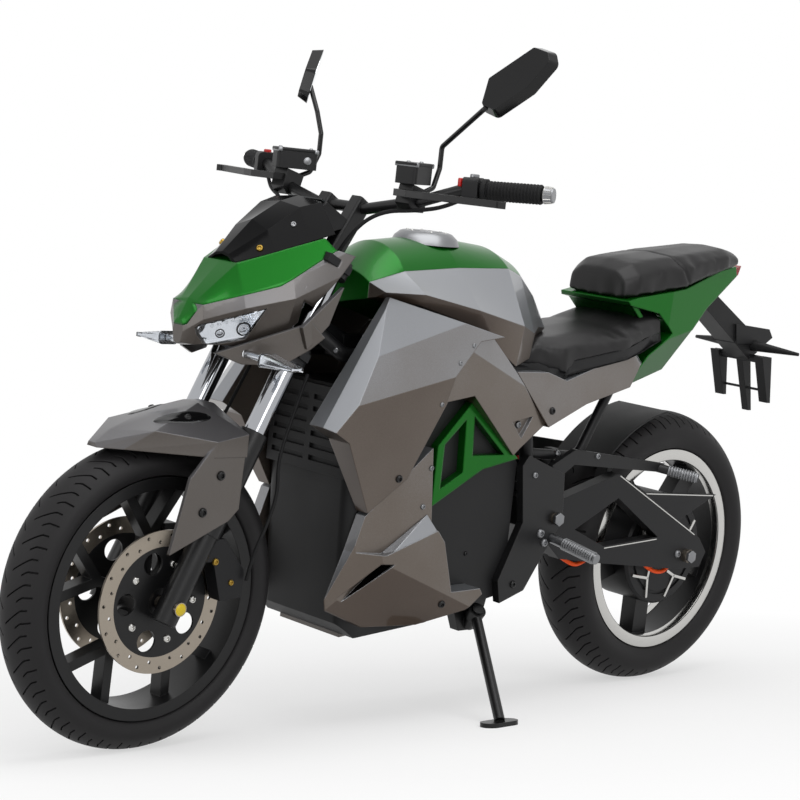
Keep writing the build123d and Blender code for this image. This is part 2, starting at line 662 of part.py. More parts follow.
with BuildPart() as shrouds:
    prism(body(
        (300, 878), (461, 632), (409, 605), (318, 462), (232, 528), (170, 680), (162, 735), (92, 803), (28, 813),
    ), BODY_Y + 90, BODY_Y)
    trim(
        skin((353, 54, 770), (159, 54, 828), (287, 14, 875)),
        skin((353, 54, 770), (159, 54, 828), (399, 72, 680)),
        skin((399, 72, 680), (162, 76, 735), (318, 33, 462)),
        skin((353, 54, 770), (430, 70, 648), (372, 26, 768)),
    )
    mirror(about=Plane.XZ)

with BuildPart() as side_covers:
    prism(body(
        (28, 811), (92, 801), (162, 733), (170, 680), (74, 692), (-79, 565), (-98, 579), (-172, 626), (-57, 739),
    ), BODY_Y + 60, BODY_Y)
    trim(
        skin((28, 30, 811), (162, 74, 735), (-57, 28, 739)),
        skin((74, 46, 692), (-40, 34, 725), (-98, 24, 579)),
    )
    prism(body((-61, 635), (-128, 645), (-98, 600)), BODY_Y + 60, BODY_Y + 14, mode=Mode.SUBTRACT)
    mirror(about=Plane.XZ)
    clear_of(shrouds)

with BuildPart() as trim_triangles:
    prism(body((46, 679), (-100, 557), (1, 537), (134, 466), (134, 587)), BODY_Y + 20, BODY_Y)
    prism(body((40, 646), (-58, 566), (34, 566)), BODY_Y + 20, BODY_Y, mode=Mode.SUBTRACT)
    prism(body((62, 640), (116, 590), (116, 500), (56, 532)), BODY_Y + 20, BODY_Y, mode=Mode.SUBTRACT)
    mirror(about=Plane.XZ)
    clear_of(side_covers, shrouds)

with BuildPart() as lower_fairings:
    prism(body((153, 585), (317, 455), (340, 385), (204, 373), (134, 422)), BODY_Y + 26, BODY_Y)
    prism(body(
        (402, 227), (141, 225), (30, 253), (-12, 284), (-4, 296), (78, 294), (112, 398), (134, 422), (267, 379),
        (340, 385),
    ), BODY_Y + 46, BODY_Y)
    trim(
        skin((402, -14, 227), (402, -8, 300), (262, 46, 300)),
        skin((402, -10, 248), (60, 46, 276), (141, 18, 225)),
    )
    prism(body((278, 362), (243, 360), (368, 264), (386, 262)), BODY_Y + 60, BODY_Y + 10, mode=Mode.SUBTRACT)
    mirror(about=Plane.XZ)
    clear_of(shrouds, trim_triangles)

with BuildPart() as skid_plate:
    prism(body((290, 205), (100, 222), (100, 214), (290, 197)), 90, -90)

# Tank cover. Stations run from the front back: x, crown height, then (half width, height) of shoulder, knee
# and the lower edge, and the height of the flat underside.
TANK = [
    (318, 926, (100, 902), (150, 888), (124, 876), 850),
    (228, 976, (100, 926), (168, 888), (152, 866), 825),
    (84, 993, (100, 938), (178, 862), (160, 830), 782),
    (-62, 980, (100, 942), (164, 832), (152, 748), 780),
    (-123, 958, (80, 926), (136, 815), (130, 762), 780),
    (-190, 908, (58, 884), (84, 822), (74, 794), 782),
    (-250, 838, (38, 828), (46, 816), (38, 806), 800),
]


def tank_block():
    """The whole tank cover with its rounded crown. Adds to the open part."""
    faces = []
    for x, crown, (y1, z1), (y2, z2), (y3, z3), under in TANK:
        with BuildSketch(Plane.YZ.offset(body((x, 0))[0][0])) as face:
            with BuildLine():
                ThreePointArc((-y1, z1), (0, crown), (y1, z1))
                Polyline((y1, z1), (y2, z2), (y3, z3), (0, under), (-y3, z3), (-y2, z2), (-y1, z1))
            make_face()
        faces.append(face.sketch.face())
    loft(faces, ruled=True)


def tank_middle(mode):
    """Tall block over the coloured middle of the tank. Changes the open part."""
    with BuildSketch(Plane.XY) as footprint:
        with BuildLine():
            corners = body((400, -100), (400, 100), (-62, 100), (-260, 34), (-260, -34), (-62, -100))
            Polyline(*corners, close=True)
        make_face()
    extrude(footprint.sketch, amount=1200, mode=mode)


with BuildPart() as tank_cover:
    tank_block()
    tank_middle(Mode.INTERSECT)

with BuildPart() as tank_sides:
    tank_block()
    tank_middle(Mode.SUBTRACT)
    clear_of(shrouds, side_covers)

with BuildPart() as charge_cap:
    with BuildSketch(Plane.XY.offset(980)):
        with Locations(body((84, 0))):
            Circle(50)
    extrude(amount=18)
    clear_of(tank_cover)

# Seats and tail
with BuildPart() as rider_seat:
    body_hull([
        (-130, (0, 800), (50, 798), (84, 786), (92, 742), (0, 742)),
        (-230, (0, 802), (90, 798), (136, 778), (140, 722), (110, 742), (0, 742)),
        (-420, (0, 826), (90, 822), (142, 806), (146, 774), (110, 780), (0, 780)),
        (-556, (0, 868), (80, 866), (114, 852), (122, 818), (0, 818)),
    ])
    clear_of(tank_cover, tank_sides)

with BuildPart() as pillion_seat:
    body_hull([
        (-450, (0, 948), (52, 944), (78, 926), (84, 888), (0, 886)),
        (-484, (0, 970), (66, 963), (96, 938), (99, 894), (0, 894)),
        (-650, (0, 992), (72, 986), (104, 962), (104, 918), (0, 918)),
        (-800, (0, 1010), (60, 1006), (88, 990), (92, 962), (0, 962)),
        (-862, (0, 1004), (48, 1000), (70, 988), (72, 973), (0, 972)),
    ])

with BuildPart() as tail_fairing:
    prism(body(
        (-452, 703), (-590, 737), (-660, 825), (-729, 876), (-862, 950), (-862, 971.6),
        (-800, 961.6), (-650, 917.6), (-484, 893.6), (-449.6, 885.5), (-456, 876),
        (-545, 862), (-584, 820), (-504, 772),
    ), 140, -140)
    edge = body((-380, 136, 850), (-600, 130, 780), (-862, 64, 950))
    trim(edge, body((-560, 132, 820), (-452, 118, 703), (-660, 112, 825)))
    trim(body((-450, 100, 886), (-800, 94, 962), (-560, 130, 800)))
    mirror(about=Plane.XZ, mode=Mode.INTERSECT)
    inside = body((-380, 700), (-600, 690), (-640, 800), (-640, 884), (-470, 870), (-380, 840))
    prism(inside, 88, -88, mode=Mode.SUBTRACT)
    prism(body((-452, 885), (-472, 872), (-502, 846), (-518, 846), (-488, 874), (-484, 892)), 94, -94)
    clear_of(rider_seat)

with BuildPart() as seat_side_panels:
    prism(body(
        (-62, 738), (-176, 622), (-300, 668), (-450, 702), (-512, 791), (-420, 772), (-228, 718), (-165, 736),
    ), 158, 126)
    trim(body((-62, 158, 738), (-176, 158, 622), (-500, 126, 740)))
    mirror(about=Plane.XZ)
    clear_of(side_covers, rider_seat, tail_fairing, tank_sides)

with BuildPart() as tail_light:
    prism(body((-855, 962), (-884, 974), (-876, 952), (-845, 940)), 56, -56)
    clear_of(tail_fairing)

with BuildPart() as plate_bracket:
    prism(body((-740, 905), (-790, 930), (-1012, 806), (-1022, 770), (-992, 752), (-810, 868)), 30, -30)
    prism(body((-920, 836), (-1050, 826), (-1066, 806), (-1040, 790), (-930, 790)), 36, -36)
    prism(body((-985, 775), (-1024, 765), (-1054, 626), (-1042, 626)), 9, -9)
    for left, right in ((78, 54), (-54, -78)):
        prism(body((-980, 764), (-1016, 764), (-1032, 655), (-1020, 655)), left, right)
    rod(body((-1000, -77, 756), (-1000, 77, 756)), 9)
    rod(body((-1026, -60, 682), (-1026, 60, 682)), 3)
    clear_of(tail_fairing)

with BuildPart() as rear_indicators:
    with BuildSketch(Plane(origin=body((-1000, 22, 786))[0], x_dir=(1, 0, 0), z_dir=(-0.12, 1, -0.03))):
        Circle(14)
    extrude(amount=132, taper=4.4)
    mirror(about=Plane.XZ)
    clear_of(plate_bracket)

# Frame
with BuildPart() as main_frame:
    with BuildSketch(fork_plane(0, LOWER_CLAMP + CLAMP_T / 2 + 0.2, FORK_OFFSET)):
        Circle(STEM_R + HEAD_WALL)
    extrude(amount=CLAMP_GAP - CLAMP_T - 0.4)
    neck = fork_plane(0, LOWER_CLAMP + CLAMP_GAP * 0.55, FORK_OFFSET).origin
    for sign in (-1, 1):
        spar = body(
            (330, sign * 60, 755), (40, sign * 108, 735), (-150, sign * 109, 655), (-172, sign * 109, 545),
        )
        rod([(neck.X - 6, sign * 12, neck.Z - 16), *spar], 15, 30)
        rod(body(
            (60, sign * 102, 732), (-200, sign * 88, 730), (-430, sign * 80, 730), (-562, sign * 72, 786),
            (-642, sign * 66, 884),
        ), 12, 40)
        rod(body((-168, sign * 109, 560), (-351, sign * 90, 545), (-490, sign * 76, 760)), 11, 40)
        foot = body((-190, 545), (-150, 545), (-150, 500), (-180, 490))
        prism(foot, *((BODY_Y, 100) if sign > 0 else (-100, -BODY_Y)))
    prism(body((300, 745), (300, 790), (84, 782), (-170, 780), (-170, 745)), 26, -26)
    rod([(neck.X - 10, 0, neck.Z - 20), *body((280, 0, 768))], 24)
    rod(body((-120, -112, 678), (-120, 112, 678)), 12)
    rod(body((-150, -90, 742), (-150, 90, 742)), 10)
    rod(body((-430, -80, 730), (-430, 80, 730)), 10)
    with BuildSketch(fork_plane(0, LOWER_CLAMP, FORK_OFFSET)):
        Circle(STEM_R + RUNNING_GAP)
    extrude(amount=CLAMP_GAP, mode=Mode.SUBTRACT)
    clear_of(tank_cover, rider_seat, pillion_seat, tail_fairing, rear_shock, battery_box, seat_side_panels)

# Foot pegs and stand
with BuildPart() as rider_pegs:
    rod([(PIVOT[0] + 2, BODY_Y + 10, PIVOT[2] - 41), (PIVOT[0] - 8, BODY_Y + 138, PIVOT[2] - 63)], 11)
    mirror(about=Plane.XZ)
    clear_of(pivot_plates)

with BuildPart() as pillion_pegs:
    hanger = ((8, 110), (-62, 143), (-362, 105), (-362, 85), (-62, 110), (-14, 80))
    prism([(PIVOT[0] + x, PIVOT[2] + z) for x, z in hanger], BODY_Y, BODY_Y - 14)
    rod([(PIVOT[0] - 348, BODY_Y - 10, PIVOT[2] + 95), (PIVOT[0] - 402, BODY_Y + 68, PIVOT[2] + 83)], 10)
    mirror(about=Plane.XZ)
    clear_of(main_frame)

stand_pivot = Vector(*body((-62, BODY_Y - 14, 226))[0])
ground = STAND_OUT * tan(radians(LEAN)) - TYRE_SINK
stand_foot = Vector(stand_pivot.X + 87, STAND_OUT, ground)
folded = Vector(-0.97, 0.2, 0.1)
fold_axis = (stand_foot - stand_pivot).cross(folded).normalized()

def pin(start, end, radius, mode=Mode.ADD):
    """Round length on the stand's pivot, between two distances along it. Changes the open part."""
    with BuildSketch(Plane(origin=stand_pivot + fold_axis * start, z_dir=fold_axis)) as face:
        Circle(radius)
    extrude(face.sketch, amount=end - start, mode=mode)


with BuildPart() as stand_bracket:
    prism(body((-13, 248), (-120, 268), (-100, 184), (-42, 184)), BODY_Y - 38, BODY_Y - 62)
    pin(-42, -STAND_R - 0.3, 14)
    pin(-STAND_R - 1, STAND_R + 1, PIN_R)
    pin(STAND_R + 0.3, STAND_R + 6, 12)
    clear_of(battery_box)

with BuildPart() as side_stand:
    leg = (stand_foot - stand_pivot).normalized()
    rod([stand_pivot + leg * 12, stand_foot + Vector(0, 0, 10)], STAND_R)
    pin(-STAND_R, STAND_R, 19)
    pin(-STAND_R - 1, STAND_R + 1, PIN_R + RUNNING_GAP, mode=Mode.SUBTRACT)
    sole = Plane(origin=stand_foot, x_dir=(1, 0, 0), z_dir=(0, -sin(radians(LEAN)), cos(radians(LEAN))))
    with BuildSketch(sole):
        SlotOverall(90, 44)
    extrude(amount=9)
    split(bisect_by=sole, keep=Keep.TOP)

finished = {
    "front_tyre": front_tyre,
    "front_rim": front_rim,
    "front_discs": front_discs,
    "disc_carriers": disc_carriers,
    "rear_tyre": rear_tyre,
    "rear_rim": rear_rim,
    "hub_motor": hub_motor,
    "rear_disc": rear_disc,
    "front_axle": front_axle,
    "fork_lowers": fork_lowers,
    "fork_tubes": fork_tubes,
    "triple_clamps": triple_clamps,
    "handlebar": handlebar,
    "grips": grips,
    "bar_ends": bar_ends,
    "switchgear": switchgear,
    "bar_perches": bar_perches,
    "brake_reservoirs": brake_reservoirs,
    "brake_levers": brake_levers,
    "mirrors": mirrors,
    "headlight_shell": headlight_shell,
    "headlight_brow": headlight_brow,
    "headlamp_lenses": headlamp_lenses,
    "cowl_winglets": cowl_winglets,
    "windscreen": windscreen,
    "dash": dash,
    "front_indicators": front_indicators,
    "front_fender": front_fender,
    "front_calipers": front_calipers,
    "pivot_plates": pivot_plates,
    "swingarm": swingarm,
    "swingarm_pivot": swingarm_pivot,
    "rear_axle": rear_axle,
    "rear_shock": rear_shock,
    "rear_caliper": rear_caliper,
    "rear_hugger": rear_hugger,
    "battery_box": battery_box,
    "front_grille": front_grille,
    "shrouds": shrouds,
    "side_covers": side_covers,
    "trim_triangles": trim_triangles,
    "lower_fairings": lower_fairings,
    "skid_plate": skid_plate,
    "tank_cover": tank_cover,
    "tank_sides": tank_sides,
    "charge_cap": charge_cap,
    "rider_seat": rider_seat,
    "pillion_seat": pillion_seat,
    "tail_fairing": tail_fairing,
    "seat_side_panels": seat_side_panels,
    "tail_light": tail_light,
    "plate_bracket": plate_bracket,
    "rear_indicators": rear_indicators,
    "main_frame": main_frame,
    "rider_pegs": rider_pegs,
    "pillion_pegs": pillion_pegs,
    "stand_bracket": stand_bracket,
    "side_stand": side_stand,
}

# Lean onto the stand, then set the origin under the middle of the whole machine
lean = Rotation(-LEAN, 0, 0)
leaned = {name: lean * piece.part for name, piece in finished.items()}
boxes = [shape.bounding_box() for shape in leaned.values()]
low = Vector(min(b.min.X for b in boxes), min(b.min.Y for b in boxes), min(b.min.Z for b in boxes))
high = Vector(max(b.max.X for b in boxes), max(b.max.Y for b in boxes), max(b.max.Z for b in boxes))
shift = Vector(-(low.X + high.X) / 2, -(low.Y + high.Y) / 2, -low.Z)
os.makedirs("parts", exist_ok=True)
for name, shape in leaned.items():
    placed = Pos(shift) * shape
    placed.label = name
    export_step(placed, f"parts/{name}.step")
print("shift", shift.X, shift.Y, shift.Z, "size", high - low)
print("stand", *stand_pivot, *fold_axis)
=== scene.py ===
# %% [markdown]
# # Dressing a naked electric motorcycle
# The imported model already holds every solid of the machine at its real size, leaning on its side
# stand. This lesson gives those solids their finishes and adds what is too small or too soft for
# them: tread, bolts, lamp bowls, padded seats and cables. Everything rides on a body of the packed
# model, so the bars still steer and the wheels still turn after the scene is dressed.

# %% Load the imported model
import json
import math

import bmesh
import bpy
from mathutils import Matrix, Vector


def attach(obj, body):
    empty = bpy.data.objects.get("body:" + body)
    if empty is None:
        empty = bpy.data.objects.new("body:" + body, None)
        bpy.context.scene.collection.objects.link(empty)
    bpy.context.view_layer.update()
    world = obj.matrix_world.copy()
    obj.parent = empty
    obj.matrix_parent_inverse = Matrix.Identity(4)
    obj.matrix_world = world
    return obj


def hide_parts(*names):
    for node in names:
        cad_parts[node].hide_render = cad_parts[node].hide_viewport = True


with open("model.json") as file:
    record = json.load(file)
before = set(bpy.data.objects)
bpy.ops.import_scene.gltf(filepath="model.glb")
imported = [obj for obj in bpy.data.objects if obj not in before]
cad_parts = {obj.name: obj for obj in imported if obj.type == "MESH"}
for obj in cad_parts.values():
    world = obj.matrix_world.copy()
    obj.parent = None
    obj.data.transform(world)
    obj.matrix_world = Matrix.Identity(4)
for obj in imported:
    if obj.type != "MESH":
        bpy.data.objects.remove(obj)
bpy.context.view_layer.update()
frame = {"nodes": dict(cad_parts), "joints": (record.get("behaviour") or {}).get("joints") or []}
nodes = frame["nodes"]
scene = bpy.context.scene
scene.view_settings.view_transform = "Standard"

# %% [markdown]
# ## A frame to draw in
# The machine leans nine degrees, which makes every place awkward to write down. A mechanic measures
# it upright, so the new pieces are drawn upright too: millimetres, X forward from midway between
# the axles, Y to the rider's left, Z up from the road. One matrix then leans them and sets them
# among the solids. It takes the front axle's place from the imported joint, so it stays right if the
# solids move.

# %% Upright millimetres to the leaning model
FRONT_AXLE = Vector((720, 0, 293))
REAR_AXLE = Vector((-720, 0, 314))
LEFT = Vector((0, 1, 0))
lean = Matrix.Rotation(math.radians(-9), 4, "X")
MACHINE_UP = lean @ Vector((0, 0, 1))
axle_joint = next(j for j in frame["joints"] if j["name"] == "front_wheel_spin")
shift = Vector(axle_joint["pos_m"]) - lean @ (FRONT_AXLE / 1000)
UPRIGHT = Matrix.Translation(shift) @ lean @ Matrix.Scale(0.001, 4)


def piece(bm, name, body, slot, *materials, crease=35):
    """Turn a bmesh drawn upright in millimetres into a piece that rides on a body."""
    bmesh.ops.recalc_face_normals(bm, faces=bm.faces)
    bm.transform(UPRIGHT)
    mesh = bpy.data.meshes.new(name)
    bm.to_mesh(mesh)
    bm.free()
    mesh.shade_smooth()
    mesh.set_sharp_from_angle(angle=math.radians(crease))
    for material in materials:
        mesh.materials.append(material)
    made = bpy.data.objects.new(name, mesh)
    scene.collection.objects.link(made)
    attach(made, body)
    print(name, len(mesh.polygons), "faces on", body)
    return made


print("front axle at", [round(v, 4) for v in UPRIGHT @ FRONT_AXLE])

# %% [markdown]
# ## Camera
# The photograph was taken from ahead and to the left, at about tank height, with a long lens from
# over four metres away. A long lens keeps the near wheel from swelling. The place and the lens were
# worked out from the two wheels, whose real size is known.

# %% Camera
lens = bpy.data.cameras.new("camera")
lens.lens = 96.2
lens.sensor_width = 36
camera = bpy.data.objects.new("camera", lens)
camera.location = UPRIGHT @ Vector((3100.5, 3108.0, 1178.5))
camera.rotation_mode = "QUATERNION"
camera.rotation_quaternion = (lean @ Vector((-0.68876, -0.71493, -0.12039))).to_track_quat("-Z", "Y")
scene.collection.objects.link(camera)
scene.camera = camera
print("camera", round((camera.location - Vector((0, 0, 0.6))).length, 2), "m from the machine")

# %% [markdown]
# ## Nodes and colours
# Every finish below is a small node tree. Two helpers keep those trees short: one turns a colour
# picked as sRGB hex into the linear values that shaders add up in, and one adds a node, sets it and
# links it in a single call.

# %% Helpers for finishes


def colour(code):
    """Linear RGBA from an sRGB hex code."""
    parts = [int(code[i:i + 2], 16) / 255 for i in (1, 3, 5)]
    return (*[v / 12.92 if v < 0.04045 else ((v + 0.055) / 1.055) ** 2.4 for v in parts], 1)


def node(tree, kind, inputs=None, **settings):
    """Add a shader node, with its settings, and its sockets given as values or as other nodes' outputs."""
    made = tree.nodes.new("ShaderNode" + kind)
    for name, value in settings.items():
        setattr(made, name, value)
    for socket, value in (inputs or {}).items():
        if isinstance(value, bpy.types.NodeSocket):
            tree.links.new(value, made.inputs[socket])
        else:
            made.inputs[socket].default_value = value
    return made


def finish(name, **sockets):
    """New material with a Principled surface. Returns the material, its tree and the surface node."""
    material = bpy.data.materials.new(name)
    material.use_nodes = True
    tree = material.node_tree
    tree.nodes.clear()
    surface = node(tree, "BsdfPrincipled", {k.replace("_", " "): v for k, v in sockets.items()})
    node(tree, "OutputMaterial", {"Surface": surface.outputs["BSDF"]})
    return material, tree, surface


print("white is", colour("#ffffff")[:3])

# %% [markdown]
# ## Metallic paint
# The panels are moulded ABS, sprayed with a base coat full of aluminium flakes and then a clear
# lacquer. Light and shade are painted into the base colour by how far a panel faces up: panels that
# face up are tinted silver as a painted highlight, panels that turn down bronze as painted shade.
# The lacquer on top gives one sharp reflection. Voronoi cells stand for the flakes. Real ones are a
# tenth of a millimetre, which no pixel here could show, so they are drawn 0.8 mm wide, and each one
# shifts the tint a little as a painted glint. The spray also leaves faint clouds about 200 mm wide.
# A Bevel node rounds the light on every panel edge, by 2.5 mm on the grey mouldings and 5 mm on the
# green ones.

# %% Gunmetal and candy green paint
FLAKE = 0.0008
CLOUD = 0.2


def metallic_paint(name, low, level, high, rounding, **sockets):
    """Flake paint under lacquer, with painted shade on panels that turn down and painted highlight on those
    that turn up.
    """
    material, tree, surface = finish(name, Coat_Roughness=0.04, Coat_IOR=1.5, **sockets)
    place = node(tree, "TexCoord").outputs["Object"]
    flakes = node(tree, "TexVoronoi", {"Vector": place, "Scale": 1 / FLAKE})
    sparkle = node(tree, "SeparateColor", {"Color": flakes.outputs["Color"]})
    cloud = node(tree, "TexNoise", {"Vector": place, "Scale": 1 / CLOUD, "Detail": 2})
    edge = node(tree, "Bevel", {"Radius": rounding}, samples=4)
    # Painted light: how far the panel faces up picks its tint, lighter on top and darker below.
    facing = node(tree, "VectorMath", {0: edge.outputs["Normal"], 1: MACHINE_UP}, operation="DOT_PRODUCT")
    drift = node(tree, "MapRange", {"Value": cloud.outputs["Fac"], "To Min": -0.12, "To Max": 0.12})
    glint = node(tree, "MapRange", {"Value": sparkle.outputs["Red"], "To Min": -0.04, "To Max": 0.05})
    wander = node(tree, "Math", {0: drift.outputs["Result"], 1: glint.outputs["Result"]})
    painted_light_tilt = node(tree, "Math", {0: facing.outputs["Value"], 1: wander.outputs[0]})
    painted_light_share = node(tree, "MapRange", {"Value": painted_light_tilt.outputs[0], "From Min": -1.0, "From Max": 1.0})
    painted_light_ramp = node(tree, "ValToRGB", {"Fac": painted_light_share.outputs["Result"]})
    painted_light_ramp.color_ramp.elements[0].position = 0.33
    painted_light_ramp.color_ramp.elements[0].color = colour(low)
    painted_light_ramp.color_ramp.elements[1].position = 0.7
    painted_light_ramp.color_ramp.elements[1].color = colour(high)
    painted_light_ramp.color_ramp.elements.new(0.5).color = colour(level)
    tree.links.new(painted_light_ramp.outputs["Color"], surface.inputs["Base Color"])
    tilt = node(tree, "Bump", {"Height": sparkle.outputs["Green"], "Normal": edge.outputs["Normal"]})
    tilt.inputs["Strength"].default_value = 0.04
    tilt.inputs["Distance"].default_value = 0.0001
    tree.links.new(tilt.outputs["Normal"], surface.inputs["Normal"])
    tree.links.new(edge.outputs["Normal"], surface.inputs["Coat Normal"])
    return material


# Warm grey with painted light: silver on top as a painted highlight, bronze below as painted shade, under a
# hard lacquer highlight.
gunmetal = metallic_paint(
    "gunmetal_metallic_paint", "#43362c", "#615850", "#8b8d91", 0.0025,
    Metallic=0.7, Roughness=0.34, Coat_Weight=0.45,
)
# The same paint with less flake and lacquer, for the panels on the fork: browner and calmer, its painted
# shade and highlight tints close together.
dark_gunmetal = metallic_paint(
    "dark_gunmetal_paint", "#3f3934", "#58534f", "#5c5b5d", 0.0025,
    Metallic=0.6, Roughness=0.36, Coat_Weight=0.28, Specular_IOR_Level=0.35,
)
# Tinted lacquer over silver: a deep green whose highlights stay green, with darker green painted as shade on
# panels that turn down.
green = metallic_paint(
    "candy_green_paint", "#034a0b", "#06600e", "#075d10", 0.005,
    Metallic=0.65, Roughness=0.3, Coat_Weight=0.18, Specular_IOR_Level=0.2,
)
print("paints:", gunmetal.name, dark_gunmetal.name, green.name)

# %% [markdown]
# ## Blacks
# Half of a motorcycle is black, and it reads well only if each black has its own surface: baked
# satin enamel on cast metal, finely grained ABS on covers, matt tyre rubber, and vinyl with a
# leather grain on the seats. The colours are close, so the grain and the roughness do the telling
# apart. Handling and dust make the gloss wander in patches about 70 mm wide. All of them reflect
# little, which a lowered specular level gives.

# %% Enamel, grained plastic, rubber and vinyl
PATCH = 0.07
EDGE_ROUNDING = 0.002


def textured(name, base, grain, depth, roughness, spread=0.08, **sockets):
    """Plain coloured surface with a grain of a size in metres and a roughness that wanders a little."""
    material, tree, surface = finish(name, **sockets)
    place = node(tree, "TexCoord").outputs["Object"]
    patches = node(tree, "TexNoise", {"Vector": place, "Scale": 1 / PATCH, "Detail": 3})
    wander = node(tree, "MapRange", {"Value": patches.outputs["Fac"]})
    wander.inputs["To Min"].default_value = roughness - spread
    wander.inputs["To Max"].default_value = roughness + spread
    tree.links.new(wander.outputs["Result"], surface.inputs["Roughness"])
    pale = [v * 1.4 + 0.002 for v in colour(base)[:3]]
    mix = node(tree, "Mix", {0: patches.outputs["Fac"], 6: colour(base), 7: (*pale, 1)}, data_type="RGBA")
    tree.links.new(mix.outputs[2], surface.inputs["Base Color"])
    edge = node(tree, "Bevel", {"Radius": EDGE_ROUNDING}, samples=4)
    grit = node(tree, "TexNoise", {"Vector": place, "Scale": 1 / grain, "Detail": 2})
    bump = node(tree, "Bump", {"Height": grit.outputs["Fac"], "Normal": edge.outputs["Normal"]})
    bump.inputs["Strength"].default_value = 0.35
    bump.inputs["Distance"].default_value = depth
    tree.links.new(bump.outputs["Normal"], surface.inputs["Normal"])
    return material


# Baked enamel on tubes and plates: an even dark sheen.
satin_black = textured("satin_black_enamel", "#0c0c0d", 0.004, 0.0001, 0.36, Specular_IOR_Level=0.3)
# Enamel over cast metal: the same black, with a pebbly skin that breaks up the sheen.
cast_black = textured("cast_black_enamel", "#0b0b0d", 0.0025, 0.0003, 0.45, Specular_IOR_Level=0.25)
# Moulded ABS with an etched grain: dull and slightly grey.
grained_black = textured("grained_black_abs", "#121213", 0.0016, 0.0003, 0.5, Specular_IOR_Level=0.25)
# Polished ABS: black with small sharp highlights.
gloss_black = textured("gloss_black_abs", "#060607", 0.03, 0.00005, 0.14, 0.03, Specular_IOR_Level=0.3)
# Tyre compound full of soot: matt, and a little lighter than the enamel.
rubber = textured("tyre_rubber", "#151415", 0.002, 0.0002, 0.6, Specular_IOR_Level=0.25)
# Soft moulded rubber: the dullest black of all.
grip_rubber = textured("grip_rubber", "#0d0d0e", 0.002, 0.0003, 0.66, Specular_IOR_Level=0.2)
# Vinyl embossed with a leather grain: broad soft highlights.
vinyl = textured("seat_vinyl", "#0e0d0e", 0.0018, 0.0004, 0.42, Specular_IOR_Level=0.3)
print("blacks made")

# %% [markdown]
# ## Bare metal, lamps and small colours
# Disc steel is ground and tinted straw by heat. Fork tubes are hard chrome. Pegs and caps are
# turned aluminium. Lamp covers are clear polycarbonate, which is a refracting surface.

# %% Metals and lamp plastics


def bare_metal(name, base, patch, smooth, rough):
    """Metal whose roughness wanders in patches of a size in metres, which reads as grinding or haze."""
    material, tree, surface = finish(name, Metallic=1.0, Base_Color=colour(base))
    place = node(tree, "TexCoord").outputs["Object"]
    marks = node(tree, "TexNoise", {"Vector": place, "Scale": 1 / patch, "Detail": 3})
    span = node(tree, "MapRange", {"Value": marks.outputs["Fac"], "To Min": smooth, "To Max": rough})
    tree.links.new(span.outputs["Result"], surface.inputs["Roughness"])
    return material


# Steel ground for the brake pads: fine scratches, straw-coloured from heat.
disc_steel = bare_metal("ground_disc_steel", "#9d9488", 0.0015, 0.2, 0.44)
# Hard chrome on the fork tubes: a cool, nearly clean mirror.
chrome = bare_metal("hard_chrome", "#a6a8ac", 0.03, 0.05, 0.14)
# Aluminium cut bright and buffed: clean, with a little haze.
polished = bare_metal("polished_aluminium", "#c3c2bf", 0.012, 0.12, 0.28)
# Aluminium vapour on a lamp's bowl: bright and broken up.
silvered = bare_metal("silvered_reflector", "#cfd2d6", 0.006, 0.1, 0.3)
# Silvered glass: a clean mirror, a little blue.
looking_glass = bare_metal("mirror_glass", "#d8dcde", 0.1, 0.01, 0.03)
# Aluminium straight from the lathe: grey, with turning marks drawn 0.8 mm apart to show.
aluminium = textured("turned_aluminium", "#77787a", 0.0008, 0.0001, 0.33, Metallic=1.0)
# Dyed anodised aluminium: the same marks under a gold skin.
gold = textured("gold_anodised_aluminium", "#8e7434", 0.0008, 0.0001, 0.3, Metallic=1.0)
# Plain moulded ABS in strong colours, for buttons, caps and the spring's coating.
red_plastic = textured("red_abs", "#a80d06", 0.002, 0.0001, 0.35)
yellow_plastic = textured("yellow_abs", "#b8a000", 0.002, 0.0001, 0.4)
# Cross-linked sheath of a high-voltage lead: matt signal orange.
orange_sheath = textured("orange_cable_sheath", "#d9480a", 0.002, 0.0001, 0.45, Specular_IOR_Level=0.2)
# Clear polycarbonate: bends what is behind it. A thin cover bends less, so the IOR is below the usual 1.58.
clear = finish(
    "clear_polycarbonate", Base_Color=colour("#fafcff"), Roughness=0.02, IOR=1.4, Transmission_Weight=1.0
)[0]
# Dyed polycarbonate: half light through, half colour.
red_lens = finish(
    "red_polycarbonate", Base_Color=colour("#b0100c"), Roughness=0.08, IOR=1.58, Transmission_Weight=0.5
)[0]
# Dark glass over a display: black with a sharp reflection.
display_glass = finish("display_glass", Base_Color=colour("#0a1214"), Roughness=0.05)[0]
# Smoked acrylic, dark enough to look black: faint, clean reflections.
smoked = textured("smoked_acrylic", "#050506", 0.05, 0.00003, 0.1, 0.03, Specular_IOR_Level=0.06)
print("metals and lamp plastics made")

# %% [markdown]
# ## Who wears what
# Each solid is of one material, so a table from finish to solids is all that is needed. A list of
# the solids that got nothing shows a forgotten one at once.

